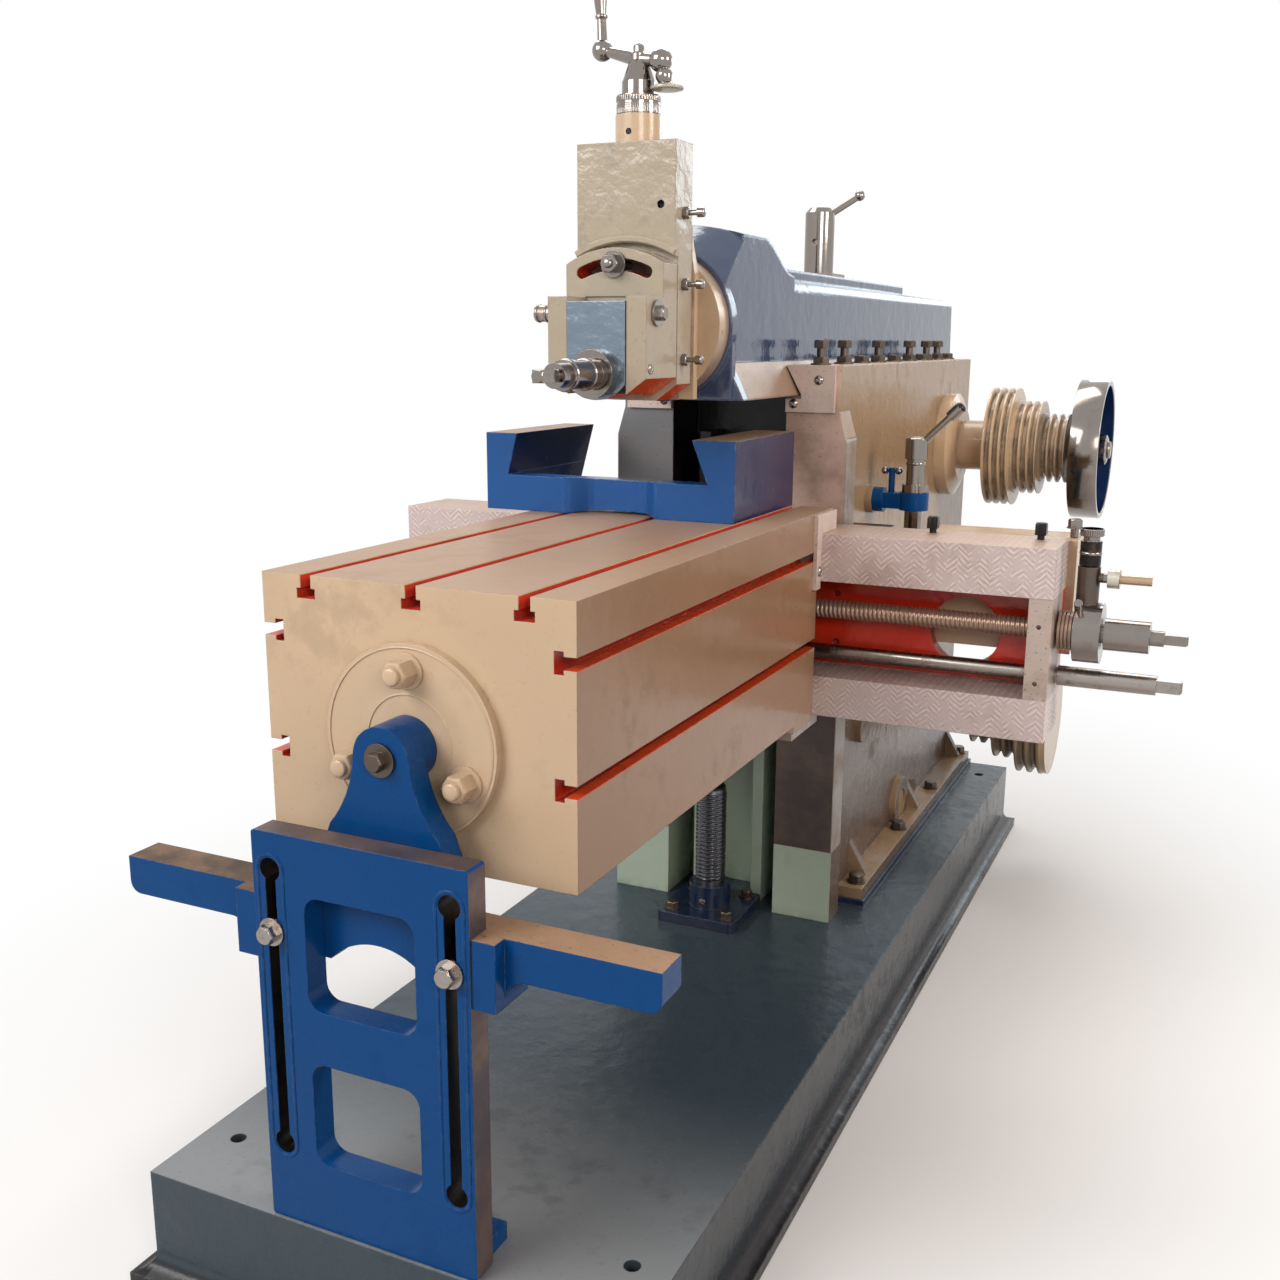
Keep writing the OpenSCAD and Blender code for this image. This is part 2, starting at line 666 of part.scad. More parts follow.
module flange_nuts() {
  color(cream) for (a = nut_at) {
    x = nut_circle * cos(a);
    z = flange_z + nut_circle * sin(a);
    rod_y(-table_front - 15, -table_front - 12, x, z, 23);
    translate([x, -table_front - 15, z]) rotate([90, 0, 0]) cylinder(h = 24, r = 18, $fn = 6);
    rod_y(-table_front - 47, -table_front - 38.9, x, z, 11);
  }
}
module feed_nut() {
  color(steel) difference() {
    union() {
      block(-60, 60, -rail_d - 44.9, -rail_d, feed_z - 50, feed_z + 50);
      block(-42, 42, -rail_d - 1, -web_t - 8, feed_z - 34, feed_z + 34);
    }
    rod_x(-61, 61, feed_y, feed_z, cross_screw_d / 2 + 0.3);
  }
}
// Bracket that hangs from the flange pivot and slides along the support beam
pivot_z = 782;
pivot_r = 12;
brk_y0 = support_y0 - frame_t - 20;
beam_top = 607;
module support_bracket() {
  color(blue) difference() {
    union() {
      rod_y(-brk_y0, -table_front - 12.3, 0, pivot_z, 40);
      along_y(-brk_y0, -brk_y0 + 35) both_x() polygon(concat([[-1, pivot_z]],
        arc(190, 792, 150, 184, 222, 8),
        [[94, 652], [94, beam_top + 0.5], [-1, beam_top + 0.5]]));
    }
    rod_y(-brk_y0 - 1, -table_front - 12, 0, pivot_z, pivot_r + shaft_gap);
  }
}
module pivot_bolt() {
  color(steel) {
    rod_y(-brk_y0 - 4, -brk_y0 - eps, 0, pivot_z, 21);
    translate([0, -brk_y0 - 3.9, pivot_z]) rotate([90, 0, 0]) cylinder(h = 11, r = 12.5, $fn = 6);
    rod_y(-brk_y0 - 1, -table_front + 20, 0, pivot_z, pivot_r);
  }
}

// Loose casting with a dovetail channel, laid on the table
loose_x0 = -310;
loose_x1 = 149;
loose_h = 131;
module dovetail_casting() {
  y0 = -348;
  y1 = -60;
  z0 = table_top + slide_gap;
  color(blue) translate([0, 0, z0]) difference() {
    along_y(y0, y1) polygon([[loose_x0, 0], [loose_x1, 0], [loose_x1, loose_h],
      [loose_x1 - 75, loose_h], [loose_x1 - 47, 60], [loose_x0 + 41, 60],
      [loose_x0 + 60, loose_h], [loose_x0, loose_h]]);
    along_y(y0 - 1, y0 + 34) translate([-158, -1]) square([171, 62]);
    along_y(y1 - 34, y1 + 1) translate([-158, -1]) square([171, 62]);
    along_y(y0 - 1, y1 + 1) translate([-158, 55]) square([171, 6]);
    along_y(y0 - 1, y1 + 1) translate([loose_x0 + 60, -1]) square([40, 21]);
    along_y(y0 - 1, y1 + 1) translate([loose_x1 - 100, -1]) square([40, 21]);
  }
}

// Support beam: carries the bracket, clamped to the frame at any height
pad_x = frame_w + 32;
module beam_half(x0) {
  polygon(concat([[x0, beam_top], [beam_l, beam_top]],
    arc(beam_l - 16, beam_top - 34, 16, 0, -90, 5),
    arc(pad_x + 25, beam_top - 75, 25, 90, 180, 5),
    [[pad_x, beam_top - 85], [x0, beam_top - 85]]));
}
module support_beam() {
  y0 = -support_y0 + frame_t + slide_gap;
  y1 = y0 + 38;
  color(blue) difference() {
    union() {
      along_y(y0, y1) difference() {
        both_x() beam_half(-1);
        translate([0, beam_top - 150]) circle(96);
      }
      both_x() along_y(y0 - 14, y0 + 0.1) beam_half(frame_w + slide_gap);
      both_x() block(frame_w + slide_gap, pad_x, y0 - frame_t + 2, y0 + 0.1, beam_top - 85,
        beam_top);
    }
    both_x() rod_y(y0 - 1, y1 + 1, frame_slot_x, bolt_z, 7.2);
  }
}
bolt_z = frame_top - 128;
module beam_bolts() {
  y0 = -support_y0;
  color(steel) both_x() {
    rod_y(y0 - 4, y0 - slide_gap, frame_slot_x, bolt_z, 18);
    translate([frame_slot_x, y0 - 3.9, bolt_z]) rotate([90, 0, 0])
      cylinder(h = 12, r = 13, $fn = 6);
    rod_y(y0 - 1, y0 + frame_t + 52, frame_slot_x, bolt_z, 7);
    translate([frame_slot_x, y0 + frame_t + 50.4, bolt_z]) rotate([90, 0, 0])
      cylinder(h = 12, r = 13, $fn = 6);
  }
}

// Ram: hollow casting with a dovetail below and a hump behind the head
module ram_side() {
  polygon([[-ram_front + 16, ram_z], [ram_rear, ram_z], [ram_rear - 16, ram_back_z - 5],
    [34, ram_back_z + 5], [6, ram_back_z + 9], [-20, ram_back_z + 19],
    [-50, ram_back_z + 35], [-80, ram_back_z + 50], [-106, ram_back_z + 60],
    [-134, ram_back_z + 66], [-170, ram_hump_z + 20], [-ram_front, ram_hump_z + 20],
    [-ram_front, ram_back_z - 60], [-ram_front + 16, ram_back_z - 60]]);
}
// Room for the front of the ram: a hood rises as a cone from the swivel face to the hump
hood_l = 78;
module hood_room() {
  translate([0, -ram_front + hood_l, head_z]) rotate([90, 0, 0])
    cylinder(h = hood_l, r1 = head_r + 58, r2 = head_r + 8);
  block(-150, 150, -ram_front + hood_l - 0.1, ram_rear + 1, ram_z - 1, ram_hump_z + 21);
  block(-150, 150, -ram_front - 1, ram_rear + 1, ram_z - 1, head_z);
}
ram_in = 26;
module ram_casting() {
  r = 24;
  color(blue) difference() {
    union() {
      intersection() {
        along_x(-150, 150) ram_side();
        hood_room();
        union() {
          along_y(-ram_front - 1, ram_rear + 1) polygon(concat([[-dove_bot, ram_z], [dove_bot, ram_z],
            [dove_top, dove_z], [ram_w, dove_z + 1]],
            arc(ram_w - r, ram_back_z - r, r, 0, 90, 6),
            arc(-ram_w + r, ram_back_z - r, r, 90, 180, 6),
            [[-ram_w, dove_z + 1], [-dove_top, dove_z]]));
          along_y(-ram_front - 1, 40) intersection() {
            translate([0, ram_hump_z - 366]) circle(366, $fn = 180);
            translate([-ram_w, ram_back_z - 62]) square([2 * ram_w, 200]);
          }
        }
      }
      rod_y(-ram_front, -ram_front + 24, 0, head_z, head_r + 6);
      block(-118, 118, -ram_front + 8, -ram_front + 24, ram_z, head_z);
      along_y(60, 900) round_rect(-84, 84, ram_back_z - 10, ram_back_z + 19, 3);
    }
    along_y(-ram_front + 74, ram_rear + 1) polygon([[-ram_w + ram_in, dove_z + 10],
      [ram_w - ram_in, dove_z + 10], [ram_w - ram_in, ram_back_z - ram_in],
      [-ram_w + ram_in, ram_back_z - ram_in]]);
    block(-52, 52, 60, 1150, ram_z - 1, dove_z + 11);
    rod_y(-ram_front - 1, -ram_front + 14, 0, head_z, 50 + shaft_gap);
    block(-16, 16, 300, 820, ram_back_z - 40, ram_back_z + 20);
  }
}
post_y = 508;
module ram_clamp_plate() {
  color(steel) difference() {
    block(-45, 45, post_y - 45, post_y + 45, ram_back_z + 19, ram_back_z + 31);
    rod_z(ram_back_z + 18, ram_back_z + 32, 0, post_y, 14 + shaft_gap);
  }
}
link_y = rocker_y + 115;
link_z = 1098;
module ram_link() {
  color(steel) {
    block(-70, 70, link_y - 120, link_y + 120, dove_z + 10, dove_z + 40);
    both_x() block(36, 50, link_y - 44, link_y + 44, link_z - 26, dove_z + 11);
    rod_x(-49, 49, link_y, link_z, 18);
  }
}
module ram_clamp_lever() {
  color(steel) difference() {
    union() {
      rod_z(ram_back_z + 31 + slide_gap, ram_back_z + 156, 0, post_y, 31);
      translate([0, post_y, ram_back_z + 156 - eps]) cylinder(h = 10, r1 = 31, r2 = 22);
      rod_z(dove_z + 90, ram_back_z + 40, 0, post_y, 14);
      translate([0, post_y, ram_back_z + 140]) rotate([0, 58, 18]) cylinder(h = 96, r = 7);
    }
    rod_y(post_y - 40, post_y - 22, 0, ram_back_z + 96, 6);
  }
}

// Swivel head: round plate on the ram with a vertical dovetail in front
slide_y = 441;
slide_t = 63;
guide_y0 = -slide_y + slide_t;
guide_y1 = -355;
head_face = -ram_front - 0.2;
guide_top = 1430;
guide_bot = 1176;
module swivel_head() {
  color(cream) difference() {
    union() {
      rod_y(guide_y1 + 15, head_face, 0, head_z, head_r);
      rod_y(head_face - 1, head_face + 13, 0, head_z, 50);
      along_y(guide_y1, guide_y1 + 16) polygon([[-78, guide_bot], [78, guide_bot],
        [78, guide_top - 60], [66, guide_top], [-66, guide_top], [-78, guide_top - 60]]);
      translate([0, 0, guide_bot]) linear_extrude(guide_top - guide_bot) polygon([
        [-50, guide_y1 + 1], [50, guide_y1 + 1], [50, guide_y1],
        [64, guide_y0 + slide_gap], [-64, guide_y0 + slide_gap], [-50, guide_y1]]);
      block(-19, 19, feed_axis_y - 17, guide_y0 + 1, nut_z, nut_z + 60);
    }
    rod_z(guide_bot - 1, guide_top + 1, 0, feed_axis_y, feed_screw_d / 2 + 0.4);
  }
}
feed_axis_y = -397;
nut_z = 1268;
module head_gib() {
  c = slide_gap * 1.2;
  color(steel) both_x() translate([0, 0, slide_bot + 24])
    linear_extrude(guide_top - slide_bot - 14) polygon([[50 + c, guide_y1 - slide_gap],
      [74, guide_y1 - slide_gap], [74, guide_y0], [64 + c, guide_y0]]);
}
gib_screw_z = [head_z + 164, head_z + 60, head_z - 52];
module gib_screws() {
  y = -slide_y + slide_t / 2;
  color(steel) for (z = gib_screw_z) {
    translate([slide_w, y, z]) rotate([0, 90, 0]) cylinder(h = 8, r = 9, $fn = 6);
    rod_x(slide_w + 7, slide_w + 24, y, z, 4);
    rod_x(slide_w + 23, slide_w + 32, y, z, 7);
  }
}
// Tool slide: plate with a vertical dovetail groove behind
slide_top = 1556;
slide_bot = slide_top - slide_l;
apron_r = 152;
slot_r = 128;
module tool_slide() {
  color(cream) difference() {
    block(-slide_w, slide_w, -slide_y, guide_y0, slide_bot, slide_top);
    block(-22, 22, feed_axis_y - 20, guide_y0 + 1, slide_bot - 1, slide_top - 60);
    rod_z(slide_top - 61, slide_top + 1, 0, feed_axis_y, 18 + seat_gap);
    rod_y(-slide_y - 1, -slide_y + 10, 58, head_z + 175, 6);
    rod_y(-slide_y - 1, -slide_y + 20, 0, box_pivot_z, 14 + shaft_gap);
    along_y(-slide_y - 1, -slide_y + 12) intersection() {
      translate([0, box_pivot_z]) circle(apron_r + 10);
      translate([-slide_w - 1, slide_bot - 1]) square([2 * slide_w + 2, 400]);
    }
    along_y(-slide_y - 1, -slide_y + 12) translate([-slide_w - 1, slide_bot - 1])
      square([2 * slide_w + 2, box_pivot_z - slide_bot]);
    both_x() along_y(-slide_y - 1, guide_y0 + 1) polygon([[slide_w + 1, slide_bot - 1],
      [slide_w + 1, slide_bot + corner_h], [slide_w - corner_w, slide_bot - 1]]);
  }
}
corner_w = 36;
corner_h = 26;
box_pivot_z = 1250;
module feed_bearing() {
  color(cream) difference() {
    union() {
      rod_z(slide_top - 60, slide_top + 1, 0, feed_axis_y, 18);
      rod_z(slide_top, slide_top + 42, 0, feed_axis_y, 35);
    }
    rod_z(slide_top - 61, slide_top + 43, 0, feed_axis_y, feed_screw_d / 2 + shaft_gap);
    block(-40, 40, guide_y0 - 0.6, guide_y0 + 30, slide_top - 1, slide_top + 43);
  }
}
module downfeed_screw() {
  color(steel) {
    rod_z(guide_bot + 6, slide_top + 116, 0, feed_axis_y, feed_screw_d / 2);
    rod_z(slide_top + 115, slide_top + 124, 0, feed_axis_y, 7);
  }
}
module graduated_collar() {
  color(steel) difference() {
    union() {
      rod_z(slide_top + 42 + slide_gap, slide_top + 70, 0, feed_axis_y, 33);
      rod_z(slide_top + 70 - eps, slide_top + 90, 0, feed_axis_y, 25.5);
      translate([0, feed_axis_y, slide_top + 90 - eps]) cylinder(h = 28, r1 = 25, r2 = 15);
    }
    rod_z(slide_top + 42, slide_top + 119, 0, feed_axis_y, feed_screw_d / 2 + seat_gap);
  }
}
crank_z = slide_top + 122;
module ball_crank() {
  color(steel) {
    difference() {
      union() {
        rod_z(slide_top + 118.2, crank_z + 9, 0, feed_axis_y, 12);
        translate([0, feed_axis_y, 0]) rotate([0, 0, -12]) {
          translate([0, 0, crank_z + 2]) rotate([0, 75, 180]) cylinder(h = 68, r = 9);
          translate([-70, 0, crank_z + 20]) sphere(r = 16);
          translate([0, 0, crank_z]) rotate([0, 98, 0]) cylinder(h = 36, r = 9);
          translate([40, 0, crank_z - 6]) sphere(r = 18);
          translate([44, 0, crank_z - 42]) cylinder(h = 34, r = 16.5);
          translate([53, 0, crank_z - 49]) cylinder(h = 12, r = 23.5);
          translate([-70, 0, crank_z + 30]) rotate([0, -3, 0]) cylinder(h = 40, r = 7);
          translate([-72, 0, crank_z + 68]) rotate([0, -3, 0])
            cylinder(h = 62, r1 = 8, r2 = 13);
        }
      }
      rod_z(slide_top + 117, slide_top + 124.3, 0, feed_axis_y, 7 + seat_gap);
      rod_z(slide_top + 100, slide_top + 118.2, 0, feed_axis_y, 20);
    }
    translate([0, feed_axis_y, crank_z + 9 - eps]) cylinder(h = 8, r = 9, $fn = 6);
    translate([0, feed_axis_y, crank_z + 16]) cylinder(h = 5, r1 = 7.5, r2 = 4);
  }
}

// Clapper box: swivels on the tool slide, clamped through an arc slot
cb_w = 81;
cb_front = 539;
cb_top = 1330;
cb_bot = 1186;
jaw_w = 48;
module arc_slot(r, w, a) {
  polygon(concat(arc(0, 0, r + w, 90 - a, 90 + a, 14),
    arc(-r * sin(a), r * cos(a), w, 90 + a, 270 + a, 6),
    arc(0, 0, r - w, 90 + a, 90 - a, 14),
    arc(r * sin(a), r * cos(a), w, 270 - a, 450 - a, 6)));
}
apron_y = slide_y + 39;
module box_shape(top) {
  polygon([[-cb_w, cb_bot + corner_h], [-cb_w + corner_w, cb_bot], [cb_w - corner_w, cb_bot],
    [cb_w, cb_bot + corner_h], [cb_w, top], [-cb_w, top]]);
}
module clapper_box() {
  color(cream) difference() {
    union() {
      along_y(-apron_y, -slide_y + 12 - slide_gap) intersection() {
        box_shape(cb_bot + 260);
        union() {
          translate([0, box_pivot_z]) circle(apron_r);
          box_shape(cb_top);
        }
      }
      along_y(-cb_front, -apron_y + 1) box_shape(cb_top);
      rod_y(-slide_y - 1, -slide_y + 19, 0, box_pivot_z, 14);
    }
    block(-jaw_w - slide_gap, jaw_w + slide_gap, -cb_front - 1, -cb_front + clapper_t, cb_bot - 1,
      cb_top + 1);
    along_y(-apron_y - 1, -slide_y + 12) translate([0, box_pivot_z]) arc_slot(slot_r, 9, 25);
    rod_x(-cb_w - 1, cb_w + 1, -hinge_y, hinge_z, hinge_d / 2 + shaft_gap);
  }
}
hinge_y = 505;
hinge_z = 1306;
module apron_bolt() {
  z = box_pivot_z + slot_r;
  color(steel) {
    rod_y(-apron_y - 5, -apron_y - slide_gap, 0, z, 20);
    translate([0, -apron_y - 4.9, z]) rotate([90, 0, 0]) cylinder(h = 13, r = 15, $fn = 6);
    rod_y(-apron_y - 24, -slide_y + 12, 0, z, 7);
  }
}
module hinge_pin() {
  color(steel) {
    rod_x(-cb_w - 37, cb_w + 4, -hinge_y, hinge_z, hinge_d / 2);
    rod_x(-cb_w - 37, -cb_w - eps, -hinge_y, hinge_z, 12.5);
    rod_x(cb_w + eps, cb_w + 5, -hinge_y, hinge_z, 19);
    translate([cb_w + 4.9, -hinge_y, hinge_z]) rotate([0, 90, 0]) cylinder(h = 9, r = 11, $fn = 6);
  }
}
module clapper_block() {
  color(steel) difference() {
    intersection() {
      block(-jaw_w, jaw_w, -cb_front - 3, -cb_front + clapper_t - slide_gap, cb_bot - 6,
        cb_top - 6);
      along_y(-cb_front - 4, -cb_front + clapper_t) union() {
        translate([0, cb_bot + 56]) circle(62);
        translate([-jaw_w, cb_bot + 56]) square([2 * jaw_w, 100]);
      }
      along_x(-jaw_w - 1, jaw_w + 1) union() {
        translate([-cb_front - 5, cb_bot - 20]) square([clapper_t + 6, hinge_z - cb_bot + 20]);
        translate([-hinge_y, hinge_z]) circle(hinge_r);
        translate([-cb_front - 5, hinge_z - 1]) square([cb_front + 5 - hinge_y, hinge_r]);
      }
    }
    rod_x(-jaw_w - 1, jaw_w + 1, -hinge_y, hinge_z, hinge_d / 2 + shaft_gap);
    rod_y(-cb_front - 5, -cb_front + clapper_t + 1, 0, post_z, 17 + seat_gap);
  }
}
hinge_r = 18;
post_z = 1218;
module tool_post() {
  color(steel) difference() {
    union() {
      rod_y(-cb_front - 20, -cb_front - 3.01, 0, post_z, post_r);
      rod_y(-cb_front - 10, -cb_front + 40, 0, post_z, 17);
      rod_y(-cb_front - 106, -cb_front - 19, 0, post_z, 22);
    }
    rod_y(-cb_front - 107, -cb_front - 76, 0, post_z, 9 + shaft_gap);
    block(-8, 8, -cb_front - 78, -cb_front - 22, post_z - 30, post_z + 30);
  }
}
module tool_post_screw() {
  color(steel) {
    rod_y(-cb_front - 140, -cb_front - 78.5, 0, post_z, 9);
    rod_y(-cb_front - 130, -cb_front - 106 - slide_gap, 0, post_z, 18);
    block(-9, 9, -cb_front - 176, -cb_front - 139, post_z - 9, post_z + 9);
  }
}

// Drive: shaft with pinion inside, cone pulley and handwheel outside
function tooth_angle(n) = 360 / n;
function inv(a) = tan(a) * 180 / PI - a;
// Points on both flanks of one involute tooth, thinned for running clearance
function flank(n, r, back) = let (rp = gear_m * n / 2, rb = rp * cos(20),
  a = acos(min(1, rb / r)), half = 90 / n - back / rp * 57.3 + inv(20)) half - inv(a);
module gear_shape(n, turn) {
  rp = gear_m * n / 2;
  rb = rp * cos(20);
  r0 = rp - 1.25 * gear_m;
  rs = max(rb, r0);
  r1 = rp + gear_m - 0.5;
  k = 4;
  polygon([for (t = [0 : n - 1]) let (c = turn + t * 360 / n) each concat(
    [[r0 * cos(c - flank(n, rs, 0.15) ), r0 * sin(c - flank(n, rs, 0.15))]],
    [for (i = [0 : k]) let (r = rs + (r1 - rs) * i / k, f = flank(n, r, 0.15))
      [r * cos(c - f), r * sin(c - f)]],
    [for (i = [k : -1 : 0]) let (r = rs + (r1 - rs) * i / k, f = flank(n, r, 0.15))
      [r * cos(c + f), r * sin(c + f)]],
    [[r0 * cos(c + flank(n, rs, 0.15)), r0 * sin(c + flank(n, rs, 0.15))]])]);
}
mesh_a = atan2(drive_z - bull_z, drive_y - bull_y);
gear_x0 = 70;
gear_x1 = 130;
cone_x0 = 322;
module drive_shaft() {
  color(steel) {
    rod_x(46, wheel_x + 36, drive_y, drive_z, drive_d / 2);
    translate([0, drive_y, drive_z]) rotate([90, 0, 90]) translate([0, 0, gear_x0 - 4])
      linear_extrude(gear_x1 - gear_x0 + 8) gear_shape(pinion_n, mesh_a + 180 + 180 / pinion_n);
    rod_x(wall_x + 98.3, cone_x0 - 0.3, drive_y, drive_z, 36);
    translate([wheel_x + 30.2, drive_y, drive_z]) rotate([0, 90, 0])
      cylinder(h = 16, r = 34, $fn = 6);
  }
}
// One step of a cone pulley, with grooves for two or three belts
module cone_profile(rs, n) {
  polygon(concat([[drive_d / 2 + seat_gap, 0]],
    [for (s = [0 : len(rs) - 1]) each concat([[rs[s], s * cone_w]],
      [for (g = [0 : n - 1]) each let (p = (cone_w - 4) / n, b = s * cone_w + 2 + g * p)
        [[rs[s], b + 2], [rs[s] - 13, b + p / 2 - 3], [rs[s] - 13, b + p / 2 + 3],
         [rs[s], b + p - 2]]],
      [[rs[s], (s + 1) * cone_w - 1]])],
    [[drive_d / 2 + seat_gap, len(rs) * cone_w - 1]]));
}
steps_down = [cone_r, cone_r - cone_step, cone_r - 2 * cone_step];
steps_up = [cone_r - 2 * cone_step, cone_r - cone_step, cone_r];
module cone_pulley() {
  color(cream) translate([cone_x0, drive_y, drive_z]) rotate([0, 90, 0])
    rotate_extrude() cone_profile(steps_down, 3);
}
wheel_x = 530;
wheel_t = 34;
module handwheel() {
  color(steel) translate([wheel_x, drive_y, drive_z]) rotate([0, 90, 0]) {
    difference() {
      union() {
        difference() {
          cylinder(h = wheel_t, r = wheel_r);
          translate([0, 0, -1]) cylinder(h = wheel_t + 2, r = wheel_r - 12);
        }
        translate([0, 0, wheel_t / 2 - 7]) cylinder(h = 14, r = wheel_r - 11);
        translate([0, 0, -30]) cylinder(h = 60, r = 36);
      }
      translate([0, 0, -31]) cylinder(h = 90, r = drive_d / 2 + seat_gap);
      for (a = [0 : 60 : 300]) rotate([0, 0, a]) translate([92, 0, 0])
        cylinder(h = wheel_t, r = 25);
    }
  }
}
crank_r = 202;
rest_lean = atan2(115, link_z - rocker_z);
crank_a = rest_lean + asin((bull_z - rocker_z) * sin(rest_lean) / crank_r);
crank_y = bull_y + crank_r * sin(crank_a);
crank_z2 = bull_z + crank_r * cos(crank_a);
block_d = (crank_z2 - rocker_z) / cos(rest_lean);
module bull_gear() {
  color(steel) {
    difference() {
      union() {
        translate([gear_x0, bull_y, bull_z]) rotate([90, 0, 90])
          linear_extrude(gear_x1 - gear_x0) gear_shape(bull_n, mesh_a);
        rod_x(gear_x1 - 1, wall_x - col_wall - 9, bull_y, bull_z, 92);
      }
      rod_x(gear_x0 + 3, wall_x - col_wall, bull_y, bull_z, journal_r + shaft_gap);
      for (a = [30 : 60 : 330])
        translate([0, bull_y + 190 * cos(a), bull_z + 190 * sin(a)])
          rotate([0, 90, 0]) cylinder(h = 200, r = 56);
    }
  }
}
// Crank pin on its slide across the face of the large gear
module crank_block() {
  color(steel) translate([0, bull_y, bull_z]) rotate([-crank_a, 0, 0]) {
    block(46, gear_x0 - 0.2, -42, 42, crank_r - 60, crank_r + 60);
    rod_x(31, 47, 0, crank_r, 24);
  }
}
arm_t = 28;
fork_top = link_z - rocker_z + 94;
die_w = 60;
fork_w = 27;
module rocker_arm() {
  color(steel) translate([0, rocker_y, rocker_z]) rotate([-rest_lean, 0, 0]) {
    difference() {
      along_x(-arm_t, arm_t) difference() {
        polygon(concat(arc(0, 0, 58, 190, 350, 12), [[88, 300], [86, 700],
          [46, link_z - rocker_z + 60], [36, fork_top], [-36, fork_top],
          [-46, link_z - rocker_z + 60], [-86, 700], [-88, 300]]));
        translate([-32, 290]) square([64, 500]);
        translate([-fork_w, link_z - rocker_z - 40]) square([2 * fork_w, 200]);
      }
      rod_x(-arm_t - 1, arm_t + 1, 0, 0, 30 + shaft_gap);
    }
    block(-arm_t, arm_t, -31.7, 31.7, block_d - 45, block_d + 45);
  }
}
module motor_pulley() {
  color([0.6, 0.58, 0.5]) {
    translate([cone_x0, drive_y, motor_z]) rotate([0, 90, 0])
      rotate_extrude() motor_profile();
    rod_x(22, cone_x0 + 3 * cone_w + 6, drive_y, motor_z, 19);
  }
}
module motor_profile() {
  polygon(concat([[0, 0]],
    [for (s = [0 : 2]) each concat([[steps_up[s], s * cone_w]],
      [for (g = [0 : 1]) each let (p = 26, b = s * cone_w + 2 + g * p)
        [[steps_up[s], b + 3], [steps_up[s] - 13, b + p / 2 - 3],
         [steps_up[s] - 13, b + p / 2 + 3], [steps_up[s], b + p - 3]]],
      [[steps_up[s], (s + 1) * cone_w - 1]])],
    [[cone_r - 2, 3 * cone_w - 1], [cone_r - 2, 3 * cone_w + 12], [0, 3 * cone_w + 12]]));
}

// Shift lever on its upright shaft
module shift_lever() {
  color(steel) {
    rod_z(lever_z[1] - 26, lever_z[0] + 82, lever_x, lever_y, lever_r);
    rod_z(lever_z[0] + 81, lever_z[0] + 118, lever_x, lever_y, lever_r + 4);
    rod_z(lever_z[0] + 17.3, lever_z[0] + 32, lever_x, lever_y, lever_r + 7);
    translate([lever_x, lever_y, lever_z[0] + 100]) rotate([0, 45, 0]) cylinder(h = 90, r = 7);
    translate([lever_x, lever_y, lever_z[0] + 100]) rotate([0, 45, 0]) translate([0, 0, 86])
      cylinder(h = 26, r = 11);
  }
}
module clamp_screw() {
  color(blue) rod_z(lever_z[0] + 2, lever_z[0] + 62, clamp_x, lever_y, 6);
  color(steel) {
    rod_x(clamp_x - tee_l, clamp_x + tee_l, lever_y, lever_z[0] + 56, 3);
    for (x = [4 - tee_l, tee_l - 4]) rod_x(clamp_x + x - 4, clamp_x + x + 4, lever_y, lever_z[0] + 56, 6);
  }
}

base_casting();
column_casting();
frame_bolts();
ram_gib_strips();
way_wiper_plates();
drive_bearing();
support_frame();
screw_foot();
elevating_sleeve();
lever_brackets();
motor();
mechanism_pins();
cross_rail_casting();
rail_end_blocks();
feed_box();
rail_keepers();
rail_clamp_bolts();
elevating_screw();
elevating_shaft();
cross_feed_screw();
feed_pawl_arm();
feed_plunger();
table_casting();
table_keeper();
table_wipers();
front_flange();
flange_nuts();
feed_nut();
support_bracket();
pivot_bolt();
dovetail_casting();
support_beam();
beam_bolts();
ram_casting();
ram_clamp_plate();
ram_link();
ram_clamp_lever();
swivel_head();
head_gib();
gib_screws();
tool_slide();
feed_bearing();
downfeed_screw();
graduated_collar();
ball_crank();
clapper_box();
apron_bolt();
hinge_pin();
clapper_block();
tool_post();
tool_post_screw();
drive_shaft();
cone_pulley();
handwheel();
bull_gear();
crank_block();
rocker_arm();
motor_pulley();
shift_lever();
clamp_screw();
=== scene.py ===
"""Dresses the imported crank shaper: finishes, threads, small fasteners, wear, camera and light."""

import logging
import math
from dataclasses import dataclass, field
from enum import Enum

import bpy
import numpy as np
from mathutils import Matrix, Vector


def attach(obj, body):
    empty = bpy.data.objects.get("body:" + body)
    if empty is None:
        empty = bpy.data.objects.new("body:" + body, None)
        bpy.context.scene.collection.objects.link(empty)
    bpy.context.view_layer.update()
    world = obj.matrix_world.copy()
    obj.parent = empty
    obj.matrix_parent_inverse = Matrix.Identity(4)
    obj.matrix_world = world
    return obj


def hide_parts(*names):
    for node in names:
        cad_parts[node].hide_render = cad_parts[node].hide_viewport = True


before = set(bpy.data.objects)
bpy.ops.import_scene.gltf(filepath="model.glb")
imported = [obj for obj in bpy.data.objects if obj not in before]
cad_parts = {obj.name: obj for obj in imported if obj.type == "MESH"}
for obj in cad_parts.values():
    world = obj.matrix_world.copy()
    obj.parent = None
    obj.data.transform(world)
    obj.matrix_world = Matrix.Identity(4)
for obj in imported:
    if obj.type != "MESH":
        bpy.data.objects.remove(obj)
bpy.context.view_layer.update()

MM = 0.001
FAR = 5000
logging.basicConfig(level=logging.INFO, format="%(levelname)s %(message)s")
LOG = logging.getLogger("shaper")


